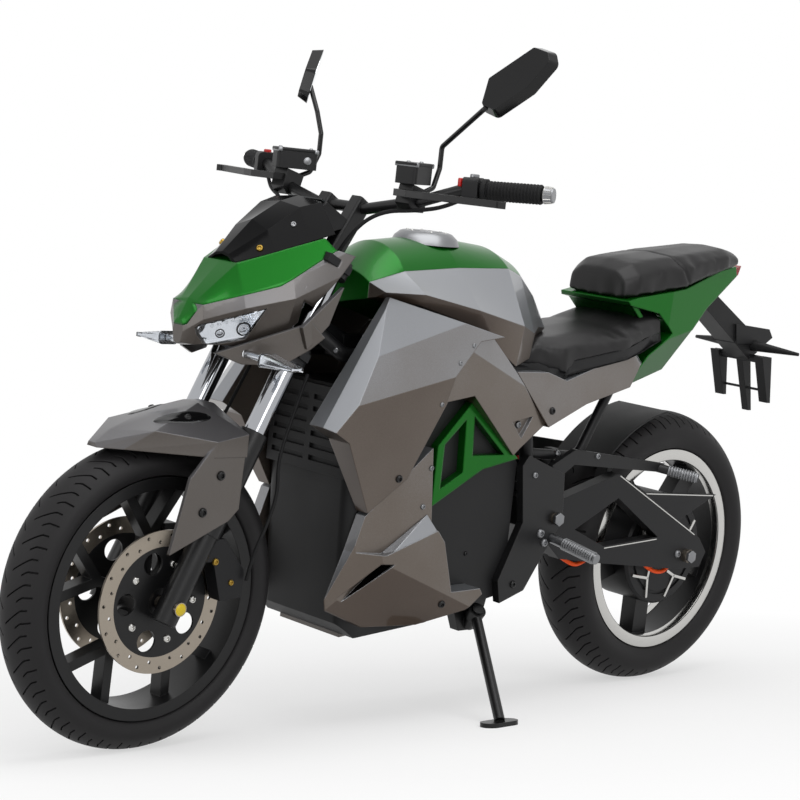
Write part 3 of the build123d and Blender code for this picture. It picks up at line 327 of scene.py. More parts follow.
# %% Finishes of the solids
wears = {
    gunmetal: "shrouds side_covers lower_fairings tank_sides seat_side_panels",
    dark_gunmetal: "headlight_shell front_fender skid_plate cowl_winglets",
    green: "headlight_brow trim_triangles tank_cover tail_fairing",
    satin_black: "fork_lowers handlebar front_rim rear_rim disc_carriers pivot_plates stand_bracket "
                 "side_stand brake_levers bar_perches pillion_pegs",
    cast_black: "triple_clamps main_frame swingarm hub_motor front_calipers rear_caliper rear_shock",
    grained_black: "switchgear dash rear_hugger battery_box front_grille plate_bracket brake_reservoirs "
                   "rear_indicators",
    gloss_black: "mirrors",
    rubber: "front_tyre rear_tyre",
    disc_steel: "front_discs rear_disc front_axle rear_axle swingarm_pivot",
    chrome: "fork_tubes",
    aluminium: "bar_ends rider_pegs charge_cap",
    grip_rubber: "grips",
    vinyl: "rider_seat pillion_seat",
    smoked: "windscreen",
    clear: "front_indicators headlamp_lenses",
    red_lens: "tail_light",
}
for material, names in wears.items():
    for name in names.split():
        nodes[name].data.materials.clear()
        nodes[name].data.materials.append(material)
bare = sorted(set(nodes) - {n for names in wears.values() for n in names.split()})
print("solids without a finish:", bare)

# %% [markdown]
# ## Tyres with tread
# A road tyre is moulded with slanted grooves that lead water from the middle out to the shoulders.
# The groove repeats round the tyre, so one pitch is drawn flat, as a tyre maker draws it: a grid
# with narrow rows where grooves run, slid along so that the rows make a chevron. Faces of those
# rows are pushed in. The flat strip is then wrapped over the tyre's own section, crown and side
# walls, and spun round the axle. Drawing it flat keeps the groove's width the same everywhere,
# which cutting a finished ring would not.

# %% One pitch of tread, wrapped and spun
BEAD_R = 216
FLANGE_R = 230
GROOVE_DEPTH = 4.5
GROOVE_WALL = 0.9
WALL_RIB = 1.2


def circle_through(a, b, c):
    """Centre and radius of the circle through three (across, out) points of a section."""
    ab, bc = (a + b) / 2, (b + c) / 2
    way_ab, way_bc = (b - a).orthogonal(), (c - b).orthogonal()
    step = (bc - ab).cross(way_bc) / way_ab.cross(way_bc)
    centre = ab + way_ab * step
    return centre, (a - centre).length


def tyre_section(radius, width, rim_width):
    """Arcs of the outside, crown and then side wall: the centre, radius, start and sweep of each."""
    shoulder = Vector((width / 2 - 5, radius - width * 0.23))
    bulge = Vector((width / 2, (radius + FLANGE_R) / 2 - 8))
    foot = Vector((rim_width / 2, FLANGE_R + 1))
    crown_c, crown_r = circle_through(Vector((-shoulder.x, shoulder.y)), Vector((0, radius)), shoulder)
    wall_c, wall_r = circle_through(shoulder, bulge, foot)
    crown_turn = math.asin(shoulder.x / crown_r)
    wall_start = math.atan2(shoulder.x - wall_c.x, shoulder.y - wall_c.y)
    wall_turn = math.atan2(foot.x - wall_c.x, foot.y - wall_c.y) - wall_start
    return (crown_c, crown_r, 0, crown_turn), (wall_c, wall_r, wall_start, wall_turn)


def flat_pitch(pitch, half, crown_half):
    """One pitch of tread drawn flat, X across the tyre and Y along it, with its grooves pressed in."""
    bm = bmesh.new()
    columns, rows = 56, 10
    bmesh.ops.create_grid(bm, x_segments=columns, y_segments=rows, size=1)
    row_ends = [v * pitch for v in (0, 0.1, 0.2, 0.28, 0.4, 0.5, 0.6, 0.7, 0.78, 0.9, 1)]
    for vert in bm.verts:
        row = round((vert.co.y + 1) / 2 * rows)
        vert.co = (vert.co.x * half, row_ends[row], 0)
    cut = []
    for face in bm.faces:
        u, v = face.calc_center_median()[:2]
        long_groove = 0.08 < abs(u) / crown_half < 0.86
        short_groove = 0.42 < abs(u) / crown_half < 0.94
        first = row_ends[2] < v < row_ends[3]
        second = row_ends[7] < v < row_ends[8]
        left_cut, right_cut = (long_groove, short_groove) if u > 0 else (short_groove, long_groove)
        if (first and left_cut) or (second and right_cut):
            cut.append(face)
    bmesh.ops.inset_region(
        bm, faces=cut, thickness=GROOVE_WALL, depth=-GROOVE_DEPTH, use_even_offset=True
    )
    return bm


def wrapped(spot, radius, crown, wall):
    """Where a point of the flat strip comes to lie on a tyre that is spun about Y."""
    u, along, depth = spot
    reach = abs(u)
    crown_c, crown_r, _, crown_turn = crown
    wall_c, wall_r, wall_start, wall_turn = wall
    crown_half = crown_r * crown_turn
    knee = crown_half * 0.62
    slant = 0.9 * min(reach, knee) + 0.15 * max(0, min(reach, crown_half) - knee)
    if reach <= crown_half:
        turn = reach / crown_r
        centre, out_r = crown_c, crown_r + depth
    else:
        turn = wall_start + (reach - crown_half) / wall_r
        on_rib = 0.7 < (reach - crown_half) / (wall_r * wall_turn) < 0.86
        centre, out_r = wall_c, wall_r + (WALL_RIB if on_rib else 0)
    across = centre.x + out_r * math.sin(turn)
    out = centre.y + out_r * math.cos(turn)
    spin = (along - slant) / radius
    return out * math.sin(spin), math.copysign(across, u), out * math.cos(spin)


def treaded_tyre(name, axle, radius, width, rim_width, pitches, body):
    """Whole tyre from bead to bead, spun from one pitch of tread. It stands for the plain CAD tyre."""
    crown, wall = tyre_section(radius, width, rim_width)
    crown_half = crown[1] * crown[3]
    half = crown_half + wall[1] * wall[3]
    bm = flat_pitch(2 * math.pi * radius / pitches, half, crown_half)
    for vert in bm.verts:
        vert.co = wrapped(vert.co, radius, crown, wall)
    near_rim = FLANGE_R + 1.5
    edge = [e for e in bm.edges if e.is_boundary and min(v.co.xz.length for v in e.verts) < near_rim]
    lip = bmesh.ops.extrude_edge_only(bm, edges=edge)["geom"]
    for vert in (g for g in lip if isinstance(g, bmesh.types.BMVert)):
        vert.co.xz = vert.co.xz.normalized() * BEAD_R
    bmesh.ops.spin(
        bm, geom=bm.faces[:] + bm.edges[:] + bm.verts[:], cent=(0, 0, 0), axis=(0, 1, 0),
        angle=2 * math.pi * (pitches - 1) / pitches, steps=pitches - 1, use_duplicate=True,
    )
    bmesh.ops.remove_doubles(bm, verts=bm.verts, dist=0.05)
    bm.transform(Matrix.Translation(axle))
    made = piece(bm, name, body, "tyre", rubber)
    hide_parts(name.replace("treaded_", ""))


treaded_tyre("treaded_front_tyre", FRONT_AXLE, 293, 110, 75.9, 38, "front_wheel")
treaded_tyre("treaded_rear_tyre", REAR_AXLE, 314, 140, 98, 36, "rear_wheel")

# %% [markdown]
# ## Padded seats
# Both seats are blocks of moulded foam under a stretched vinyl cover. The solids give their size. A
# copy of each is remeshed, drawn in a little and blown up again as cloth under pressure, so that
# edges round off and the flat sides swell as foam does. The cap on how far a point may move keeps
# the seat in the space of its solid. The pillion cover has one sewn seam, pressed in afterwards,
# because the remesh would swallow it. The rider's foam stands on a black moulded pan, which shows
# as a dark line above the side panels: a drawn-in copy set lower.

# %% Cushions blown up from the seats' solids
VOXEL = 0.006
DRAWN_IN = 0.0005
SWELL = 0.006
SEAM_DEPTH = 0.0028
SEAM_WIDTH = 4
PAN_INSET = 0.004
PAN_DROP = 0.016


def drawn_copy(name, solid, inward):
    """Merged copy of a solid in the row frame, with its surface moved inwards by a distance in metres."""
    bm = bmesh.new()
    bm.from_mesh(nodes[solid].data)
    bm.transform(nodes[solid].matrix_world)
    bmesh.ops.remove_doubles(bm, verts=bm.verts, dist=0.00002)
    bmesh.ops.dissolve_limit(bm, angle_limit=0.02, verts=bm.verts, edges=bm.edges)
    bmesh.ops.triangulate(bm, faces=bm.faces)
    bm.normal_update()
    moves = {v: min(v.calc_shell_factor(), 2) * v.normal for v in bm.verts}
    for vert, way in moves.items():
        vert.co -= way * inward
    mesh = bpy.data.meshes.new(name)
    bm.to_mesh(mesh)
    bm.free()
    made = bpy.data.objects.new(name, mesh)
    scene.collection.objects.link(made)
    return made


def bake_modifiers(obj):
    """Keep the shape that an object's modifiers give at this frame, and drop the modifiers."""
    shape = obj.evaluated_get(bpy.context.evaluated_depsgraph_get())
    mesh = bpy.data.meshes.new_from_object(shape)
    obj.modifiers.clear()
    obj.data = mesh


def blown_up(pad):
    """Swell a cover as cloth under pressure, each point by no more than the foam would."""
    rest = [v.co.copy() for v in pad.data.vertices]
    cloth = pad.modifiers.new("cloth", "CLOTH")
    cloth.settings.use_pressure = True
    cloth.settings.uniform_pressure_force = 4
    cloth.settings.effector_weights.gravity = 0
    cloth.settings.tension_stiffness = 40
    cloth.settings.compression_stiffness = 40
    cloth.settings.bending_stiffness = 20
    for step in range(1, 21):
        scene.frame_set(step)
    bake_modifiers(pad)
    scene.frame_set(1)
    for vert, start in zip(pad.data.vertices, rest):
        move = vert.co - start
        vert.co = start + move.normalized() * min(move.length, SWELL)


def press_seam(pad, start, across):
    """Press a sewn seam into a cover, where a plane through a point and square to a direction cuts it."""
    upright = UPRIGHT.inverted()
    across = across.normalized()
    outward = [v.normal.copy() for v in pad.data.vertices]
    for vert, way in zip(pad.data.vertices, outward):
        off = (upright @ vert.co - start).dot(across)
        vert.co -= way * SEAM_DEPTH * math.exp(-(off / SEAM_WIDTH) ** 2)


def cushion(name, solid, seam=None):
    """Padded cover over a seat's solid. A seam is a point and a direction across it, upright."""
    pad = drawn_copy(name, solid, DRAWN_IN)
    remesh = pad.modifiers.new("remesh", "REMESH")
    remesh.mode = "VOXEL"
    remesh.voxel_size = VOXEL
    bake_modifiers(pad)
    blown_up(pad)
    taut = pad.modifiers.new("taut", "SMOOTH")
    taut.iterations = 6
    divide = pad.modifiers.new("divide", "SUBSURF")
    divide.levels = divide.render_levels = 1
    bake_modifiers(pad)
    if seam:
        press_seam(pad, *seam)
    pad.data.materials.clear()
    pad.data.materials.append(vinyl)
    pad.data.shade_smooth()
    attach(pad, "chassis")
    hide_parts(solid)
    print(name, len(pad.data.polygons), "faces")


cushion("rider_cushion", "rider_seat")
cushion("pillion_cushion", "pillion_seat", (Vector((-653, 104, 928)), Vector((0.81, 0, -0.58))))
pan = drawn_copy("rider_seat_pan", "rider_seat", PAN_INSET)
pan.data.transform(Matrix.Translation(MACHINE_UP * -PAN_DROP))
pan.data.materials.append(grained_black)
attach(pan, "chassis")
print(pan.name, len(pan.data.polygons), "faces")

# %% [markdown]
# ## Turned and seated pieces
# Most small metal pieces on a machine are turned on a lathe or screwed flat onto a panel. Spinning
# a profile of (radius, height) points does the lathe's work. To sit right, a screw needs the place
# and the slope of the panel it is in: a ray cast at the solid finds both, so no screw floats or
# sinks when a panel is changed.

# %% Helpers for turned pieces and screws


def aim(centre, axis):
    """Matrix that puts a piece drawn about Z at a centre, with its Z along an axis."""
    return Matrix.Translation(centre) @ Vector(axis).to_track_quat("Z", "Y").to_matrix().to_4x4()


def turned(bm, profile, centre, axis, steps=32, finish_index=0):
    """Spin a profile of (radius, height) points about an axis through a centre, into a bmesh."""
    old_faces = set(bm.faces)
    old_verts = set(bm.verts)
    verts = [bm.verts.new((radius, 0, height)) for radius, height in profile]
    edges = [bm.edges.new(pair) for pair in zip(verts, verts[1:])]
    bmesh.ops.spin(
        bm, geom=verts + edges, cent=(0, 0, 0), axis=(0, 0, 1), angle=2 * math.pi,
        steps=steps, use_merge=True,
    )
    bmesh.ops.remove_doubles(bm, verts=[v for v in bm.verts if v not in old_verts], dist=0.001)
    fresh = [v for v in bm.verts if v not in old_verts]
    bmesh.ops.transform(bm, matrix=aim(centre, axis), verts=fresh)
    for face in bm.faces:
        if face not in old_faces:
            face.material_index = finish_index


def block(bm, size, matrix, round_off=1.0, finish_index=0):
    """Cuboid with rounded edges, into a bmesh."""
    old = set(bm.faces)
    made = bmesh.ops.create_cube(bm, size=1, matrix=matrix @ Matrix.Diagonal((*size, 1)))
    edges = {e for v in made["verts"] for e in v.link_edges}
    bmesh.ops.bevel(
        bm, geom=list(edges), offset=round_off, affect="EDGES", segments=2, profile=0.5, material=-1
    )
    for face in bm.faces:
        if face not in old:
            face.material_index = finish_index


def rib(bm, start, end, width, height):
    """Straight rounded rib between two points of a face that looks left or right, into a bmesh."""
    way = (end - start).normalized()
    turn = Matrix((way, LEFT, way.cross(LEFT))).transposed().to_4x4()
    size = ((end - start).length + width, height, width)
    block(bm, size, Matrix.Translation((start + end) / 2) @ turn, min(width, height) * 0.22)


def seat_on(solid, start, way):
    """Place and outward direction, upright, where a line from a point first meets a solid or a piece."""
    under = nodes[solid] if solid in nodes else bpy.data.objects[solid]
    into = under.matrix_world.inverted() @ UPRIGHT
    aimed = (into.to_3x3() @ Vector(way)).normalized()
    hit, place, normal, _ = under.ray_cast(into @ Vector(start), aimed)
    if not hit:
        raise ValueError(f"nothing to sit on: {solid} from {start}")
    back = into.inverted()
    return back @ place, (back.to_3x3() @ normal).normalized()


def button_screw(radius):
    """Profile of a domed screw head with a socket in it."""
    return [(0, radius * 0.2), (radius * 0.42, radius * 0.2), (radius * 0.48, radius * 0.62),
            (radius * 0.78, radius * 0.52), (radius, radius * 0.2), (radius, -1.5)]


print("a 6 mm screw head has", len(button_screw(6)), "profile points")

# %% [markdown]
# ## Screws on the panels
# The covers are held by M6 button screws, silver on the painted panels, black where they should not
# be seen, and two gold ones on the fly screen. They are seated from each side along Y, at the
# places where the photograph shows them. The right side has the same.

# %% Silver, black and gold screws
screws = [
    ("panel_screws", "chassis", "aluminium", aluminium, [
        ("shrouds", 111, 795, 5), ("shrouds", 149, 761, 5), ("shrouds", 184, 679, 5),
        ("lower_fairings", 153, 545, 6), ("lower_fairings", 165, 468, 6), ("side_covers", -94, 627, 8),
        ("pivot_plates", -197, 395, 10), ("pivot_plates", -212, 374, 9), ("pillion_pegs", -371, 552, 7),
        ("pivot_plates", -160, 520, 7), ("swingarm", -690, 319, 9), ("main_frame", -266, 556, 8),
        ("main_frame", 352, 764, 6),
    ]),
    ("hidden_screws", "chassis", "black_metal", gloss_black, [
        ("shrouds", 255, 530, 8), ("lower_fairings", 95, 269, 8), ("seat_side_panels", -184, 656, 8),
        ("battery_box", 2, 359, 5), ("pivot_plates", -130, 290, 8),
    ]),
    ("fender_screws", "steering", "black_metal", gloss_black, [
        ("front_fender", 662, 540, 9), ("front_fender", 696, 473, 9),
    ]),
    ("screen_screws", "steering", "aluminium", gold, [("windscreen", 561, 951, 7)]),
    ("upper_screen_screws", "steering", "aluminium", aluminium, [("windscreen", 496, 1000, 6)]),
    ("caliper_screws", "steering", "aluminium", gold, [
        ("front_calipers", 632, 372, 7), ("front_calipers", 590, 330, 6),
    ]),
]
for name, body, slot, material, places in screws:
    bm = bmesh.new()
    for solid, x, z, radius in places:
        for side in (1, -1):
            place, normal = seat_on(solid, (x, side * 400, z), (0, -side, 0))
            turned(bm, button_screw(radius), place, normal, steps=24)
    piece(bm, name, body, slot, material)

# %% [markdown]
# ## Front wheel
# The discs are bolted to black carriers with five silver screws a side, and the axle ends in yellow
# dust caps. Both are turned: a screw head and a shallow dome, spun about the axle's direction.

# %% Disc screws and axle caps
DISC_FACE = 67
BOLT_CIRCLE = 74
AXLE_END = 125
bm = bmesh.new()
for side in (1, -1):
    for number in range(5):
        turn = math.radians(36 + 72 * number)
        spot = Vector((BOLT_CIRCLE * math.cos(turn), side * (DISC_FACE - 3), BOLT_CIRCLE * math.sin(turn)))
        turned(bm, button_screw(8), FRONT_AXLE + spot, LEFT * side, steps=24)
piece(bm, "disc_screws", "front_wheel", "aluminium", polished)

bm = bmesh.new()
for side in (1, -1):
    cap = [(0, 5), (8, 4.5), (11.5, 2), (12, -2), (9, -2)]
    turned(bm, cap, FRONT_AXLE + LEFT * side * AXLE_END, LEFT * side)
piece(bm, "axle_dust_caps", "steering", "aluminium", yellow_plastic)

# %% [markdown]
# ## Rear wheel
# The rear rim is black with a polished lip, cut bright on a lathe after painting. It is a spun ring
# just proud of the painted flange. The hub motor's left cover is cast with sharp ribs whose tops
# are machined bright, five times round. The other cover hides behind the brake disc and stays
# plain.

# %% Rim lips and motor ribs
RIM_FACE = 56
LIP = [(231.5, -2), (231.5, 0.6), (228, 1.6), (214, 1.2), (208, 0), (206, -3), (205.6, -20), (206.9, -20)]
bm = bmesh.new()
for side in (1, -1):
    turned(bm, LIP, REAR_AXLE + LEFT * side * RIM_FACE, LEFT * side, steps=128)
piece(bm, "polished_rim_lips", "rear_wheel", "aluminium", polished)

MOTOR_FACE = 62
bm = bmesh.new()
for number in range(5):
    points = []
    for reach, angle in ((116, 4), (80, 18), (112, 42), (58, 30)):
        turn = math.radians(angle + 72 * number)
        points.append(REAR_AXLE + Vector((reach * math.cos(turn), MOTOR_FACE, reach * math.sin(turn))))
    for start, end in ((0, 1), (1, 2), (1, 3)):
        rib(bm, points[start], points[end], 7, 8)
piece(bm, "motor_cover_ribs", "rear_wheel", "aluminium", polished)

# %% [markdown]
# ## Swingarm
# A nut closes the axle and the pivot on each side. It is a six-sided cylinder with bevelled edges.
# Along three edges the arm's black coat catches the light. Thin polished ribs on its face stand for
# those lines as painted highlights.

# %% Axle nuts and painted edge highlights
PIVOT = Vector((-238, 0, 425))
bm = bmesh.new()
for side in (1, -1):
    for spot, reach in ((REAR_AXLE, 141), (PIVOT, 157)):
        made = bmesh.ops.create_cone(
            bm, segments=6, radius1=15, radius2=15, depth=9, cap_ends=True,
            matrix=aim(spot + LEFT * side * (reach + 3), LEFT),
        )
        edges = list({e for v in made["verts"] for e in v.link_edges})
        bmesh.ops.bevel(bm, geom=edges, offset=1, affect="EDGES", segments=2, profile=0.5, material=-1)
piece(bm, "axle_nuts", "chassis", "steel", aluminium)

# Painted highlights: polished strips along three edges, standing for light caught on them.
bm = bmesh.new()
for side in (1, -1):
    for start, end in (
        (Vector((-460, 128, 505)), Vector((-742, 128, 361))),
        (Vector((-562, 122, 461)), Vector((-800, 122, 448))),
        (Vector((-434, 128, 346)), Vector((-608, 128, 357))),
    ):
        flip = Vector((1, side, 1))
        rib(bm, start * flip, end * flip, 2.6, 2)
piece(bm, "swingarm_painted_edge_highlights", "chassis", "aluminium", polished)

# %% [markdown]
# ## Lower fairing
# Two details break up the large lower panel: a sloping step where a boot might rest, and under it
# a long air slot. The step is a wedge between the panel and its raised lower half, and its upturned
# gunmetal face gets the paint's silver highlight tint. The slot's dark inside is painted shade: a
# black sheet on the floor of the notch in the panel, where the slot's shadow lies.

# %% Fairing steps, and black sheets of painted shade in the air slots
WEDGE = [
    (258, 177.6, 377), (136, 177.6, 421), (151, 158.6, 452),
    (263, 158.6, 382), (258, 158.6, 374), (138, 158.6, 416),
]
# Painted shade: a black sheet where the air slot's shadow lies.
SLOT_SHADE_SHEET = [
    (257, 140, 350), (299, 130, 318), (338, 126, 288),
    (341, 140, 285), (295, 161, 321), (248, 174, 357),
]
steps, slots = bmesh.new(), bmesh.new()
for side in (1, -1):
    spots = [steps.verts.new((x, side * y, z)) for x, y, z in WEDGE]
    for corners in ((0, 1, 2, 3), (0, 3, 4), (1, 5, 2), (0, 4, 5, 1), (2, 5, 4, 3)):
        steps.faces.new([spots[i] for i in corners])
    slots.faces.new([slots.verts.new((x, side * y, z)) for x, y, z in SLOT_SHADE_SHEET])
bmesh.ops.solidify(slots, geom=slots.faces[:], thickness=0.6)
piece(steps, "fairing_steps", "chassis", "grey_paint", gunmetal)
piece(slots, "fairing_slot_shade_sheets", "chassis", "black_plastic", gloss_black)

# %% [markdown]
# ## Headlamps
# Behind each clear cover sits a silvered bowl with a dark-rimmed projector, a small side lamp and a
# row of LEDs under the brow. A drawn-in copy of the cover makes the bowl, so the clear plastic
# keeps an even thickness. The turned lamps are set into it, looking ahead and a little out. The
# front indicators get the same silvered core.

# %% Bowls, projectors and LEDs
for name, solid in (("lamp_bowls", "headlamp_lenses"), ("indicator_cores", "front_indicators")):
    bowl = drawn_copy(name, solid, 0.0028)
    bowl.data.materials.append(silvered)
    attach(bowl, "steering")
    print(name, len(bowl.data.polygons), "faces")

bm = bmesh.new()
for side in (1, -1):
    for x, z, radius in ((597, 802, 14), (634, 790, 9)):
        place, normal = seat_on("headlamp_lenses", (x, side * 300, z), (0, -side, 0))
        spot = place - normal * 1.8
        bezel = [(radius, -4), (radius, 0.6), (radius * 0.8, 0.9), (radius * 0.74, -1.4)]
        bulb = [(0, 0.4), (radius * 0.42, -0.1), (radius * 0.72, -1.4)]
        turned(bm, bezel, spot, normal, 32, 0)
        turned(bm, bulb, spot, normal, 32, 1)
    for number in range(8):
        x, z = 578 + number * 10.5, 834 - number * 4.4
        place, normal = seat_on("headlamp_lenses", (x, side * 300, z), (0, -side, 0))
        block(bm, (7, 5, 1.6), aim(place - normal * 2.2, normal), 0.5, 2)
# Frosted plastic over a diode: plain pale blocks in a silvered bowl.
pale_led = finish("pale_led_plastic", Base_Color=colour("#eef2f6"), Roughness=0.3)[0]
piece(bm, "lamp_projectors", "steering", "black_plastic", gloss_black, chrome, pale_led)

# %% [markdown]
# ## Front fender
# The fender is one thin moulding whose nose widens over the tyre into two side blades. The solid
# has those blades and a stepped crown. Here the blades are kept and the crown becomes a smooth skin
# stretched over its corners. Their convex hull is the shape that a sheet pulled over them would
# take up. Its underside and back are left off, as on the real moulding, and the rest gets a
# thickness.

# %% Fender moulding
nose = [(860, 9, 583), (858, 15, 575), (823, 4, 605), (822, 46, 576)]
crown = [(774, 73, 614), (774, 74, 573), (745, 16, 631), (644, 22, 656), (606, 22, 656)]
shoulder = [(677, 133.6, 602), (677, 133.6, 573), (606, 133.6, 615), (606, 133.6, 573)]
bm = bmesh.new()
bm.from_mesh(nodes["front_fender"].data)
bm.transform(UPRIGHT.inverted() @ nodes["front_fender"].matrix_world)
bmesh.ops.remove_doubles(bm, verts=bm.verts, dist=0.02)
inner = [f for f in bm.faces if min(abs(v.co.y) for v in f.verts) < 120]
bmesh.ops.delete(bm, geom=inner, context="FACES")
blades = set(bm.faces)
spots = [bm.verts.new((x, side * y, z)) for x, y, z in nose + crown + shoulder for side in (1, -1)]
bmesh.ops.convex_hull(bm, input=spots)
skin = [f for f in bm.faces if f not in blades]
bmesh.ops.recalc_face_normals(bm, faces=skin)
open_side = [f for f in skin if f.normal.z < -0.3 or f.normal.x < -0.6]
bmesh.ops.delete(bm, geom=open_side, context="FACES")
bmesh.ops.solidify(bm, geom=[f for f in bm.faces if f not in blades], thickness=1.2)
fender = piece(bm, "front_fender_moulding", "steering", "grey_paint", dark_gunmetal, crease=20)
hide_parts("front_fender")
bpy.context.view_layer.update()

# %% [markdown]
# ## Fender inserts
# The front fender has an oval black insert on each shoulder, held by one screw. It is a flattened
# disc with a domed edge, draped on the fender by casting each of its points down.

# %% Oval inserts
bm = bmesh.new()
for side in (1, -1):
    old = set(bm.verts)
    turned(bm, [(0, 2), (0.5, 2), (0.8, 1.7), (0.94, 1.1), (1, -1)], (0, 0, 0), (0, 0, 1), 40)
    run = Matrix.Translation((700, side * 52, 0)) @ Matrix.Rotation(math.radians(side * -14), 4, "Z")
    fresh = [v for v in bm.verts if v not in old]
    bmesh.ops.transform(bm, matrix=run @ Matrix.Diagonal((58, 19, 1, 1)), verts=fresh)
    for vert in fresh:
        vert.co.z += seat_on("front_fender_moulding", (vert.co.x, vert.co.y, 800), (0, 0, -1))[0].z
    place, normal = seat_on("front_fender_moulding", (690, side * 56, 800), (0, 0, -1))
    turned(bm, button_screw(6), place + normal * 2, normal, 24)
piece(bm, "fender_inserts", "steering", "black_plastic", gloss_black)

# %% [markdown]
# ## Mirror glass
# A thin pane lies in each housing, which faces the rider. Its outline follows the housing's a
# little inside the rim. A vertex bevel rounds its corners, and an extrusion gives it a thickness. A
# ray finds the housing's face, so the pane stands less than a millimetre proud of it.

# %% Mirror panes
PANE = [(-77, 3), (-58, 36), (19, 40), (79, 23), (86, 0), (66, -30), (-38, -36)]
panes = [
    (1, 1.0, Vector((222, 338, 1304)), Vector((-0.93, -0.2, -0.3))),
    (-1, 0.74, Vector((214, -240, 1287)), Vector((-0.72, 0.66, -0.2))),
]
bm = bmesh.new()
for side, stretch, middle, facing in panes:
    across = Vector((-0.35, side * 0.66, 0.66))
    middle, facing = seat_on("mirrors", middle + facing * 60, -facing)
    across = (across - facing * across.dot(facing)).normalized()
    up = facing.cross(across)
    old = set(bm.faces)
    corners = []
    for u, v in PANE:
        corners.append(bm.verts.new(middle + across * u * stretch + up * v * side - facing))
    bm.faces.new(corners)
    bmesh.ops.bevel(bm, geom=corners, offset=12, affect="VERTICES", segments=5, profile=0.5, material=-1)
    pane = [f for f in bm.faces if f not in old]
    raised = bmesh.ops.extrude_face_region(bm, geom=pane, use_keep_orig=True)["geom"]
    top = [v for v in raised if isinstance(v, bmesh.types.BMVert)]
    bmesh.ops.translate(bm, vec=facing * 1.8, verts=top)
piece(bm, "mirror_panes", "steering", "chrome", looking_glass)

# %% [markdown]
# ## Grips and bar ends
# Rubber grips are moulded with rings, so their profile is a row of ribs, spun about the bar. The
# bar ends are turned aluminium with milled slots: a twelve-sided band whose sides are inset and
# pushed in.

# %% Grip rings and slotted bar ends
BAR_HAND = Vector((276, 288, 1100))
BAR_TIP = Vector((207, 426, 1106))
GRIP_L = 118
ribs = bmesh.new()
ends = bmesh.new()
for side in (1, -1):
    flip = Vector((1, side, 1))
    tip, along = BAR_TIP * flip, ((BAR_TIP - BAR_HAND) * flip).normalized()
    profile = [(17, -GRIP_L + 10)]
    for number in range(16):
        start = -GRIP_L + 12 + number * 6.4
        profile += [(17, start), (18.6, start + 1), (18.6, start + 3.6), (17, start + 4.6)]
    turned(ribs, profile + [(17, -5)], tip, along, 40)
    band = bmesh.ops.create_cone(
        ends, segments=12, radius1=17, radius2=15.4, depth=14, cap_ends=True,
        matrix=aim(tip + along * 8, along),
    )
    slots = [f for f in ends.faces if len(f.verts) == 4 and f.verts[0] in set(band["verts"])]
    bmesh.ops.inset_individual(ends, faces=slots, thickness=1.8, depth=-2.2, use_even_offset=True)
    for face in slots:
        face.material_index = 1
piece(ribs, "grip_rings", "steering", "grip_rubber", grip_rubber)
piece(ends, "slotted_bar_ends", "steering", "aluminium", polished, satin_black)

# %% [markdown]
# ## Reservoirs and switches
# Each brake reservoir has a lid with two screws, a metal strap at each end and a round sight glass.
# The switch boxes carry red buttons and, on the left, two grey rockers. All are rounded blocks and
# turned discs.

# %% Reservoir lids and switches
bm = bmesh.new()
for side in (1, -1):
    lid = Matrix.Translation((302, side * 174, 1135)) @ Matrix.Rotation(math.radians(side * 24), 4, "Z")
    block(bm, (86, 46, 7), lid, 2.5, 0)
    for x in (-32, 32):
        turned(bm, button_screw(4), lid @ Vector((x, 0, 3.5)), (0, 0, 1), 20, 1)
    for x in (-38, 38):
        block(bm, (9, 47, 9), lid @ Matrix.Translation((x, 0, -1)), 2, 1)
    sight_glass = [(0, 1.5), (6, 1.5), (8, 0.8), (8, -2)]
    outward = lid.to_3x3() @ Vector((0, -side, 0))
    turned(bm, sight_glass, lid @ Vector((-20, -side * 22, -20)), outward, 24, 1)
piece(bm, "reservoir_lids", "steering", "black_plastic", grained_black, aluminium)

bm = bmesh.new()
block(bm, (12, 8, 16), Matrix.Translation((290, 290, 1112)), 2, 0)
block(bm, (18, 9, 9), Matrix.Translation((268, 302, 1125)), 2, 1)
block(bm, (10, 18, 10), Matrix.Translation((246, 296, 1104)), 2, 1)
block(bm, (14, 10, 8), Matrix.Translation((268, -302, 1125)), 2, 0)
piece(bm, "bar_switches", "steering", "black_plastic", red_plastic, aluminium)

# %% [markdown]
# ## Pegs
# Foot pegs are ribbed so that a wet boot holds. A ribbed sleeve is spun about each peg.

# %% Ribbed pegs
pegs = [
    ("pillion_peg_sleeves", Vector((-586, 122, 520)), Vector((-640, 200, 508)), 12.5, 26, 94),
    ("rider_peg_sleeves", Vector((-236, 142, 384)), Vector((-246, 270, 362)), 13.5, 40, 128),
]
for name, root, tip, radius, start, end in pegs:
    bm = bmesh.new()
    for side in (1, -1):
        flip = Vector((1, side, 1))
        along = ((tip - root) * flip).normalized()
        profile = [(radius - 4, start)]
        for number in range(int((end - start) / 6)):
            step = start + number * 6
            profile += [(radius - 2, step), (radius, step + 1.2)]
            profile += [(radius, step + 3.6), (radius - 2, step + 4.8)]
        profile += [(radius - 2, end), (radius - 6, end + 1), (0, end + 1)]
        turned(bm, profile, root * flip, along, 28)
    piece(bm, name, "chassis", "aluminium", aluminium)

# %% [markdown]
# ## Charging flap and display
# The charging flap on the tank copies a filler cap: a ring with six screws round a raised lid with
# a lock, turned in one profile with the flange that meets the tank. The display is a dark glass
# pane on the instrument housing.

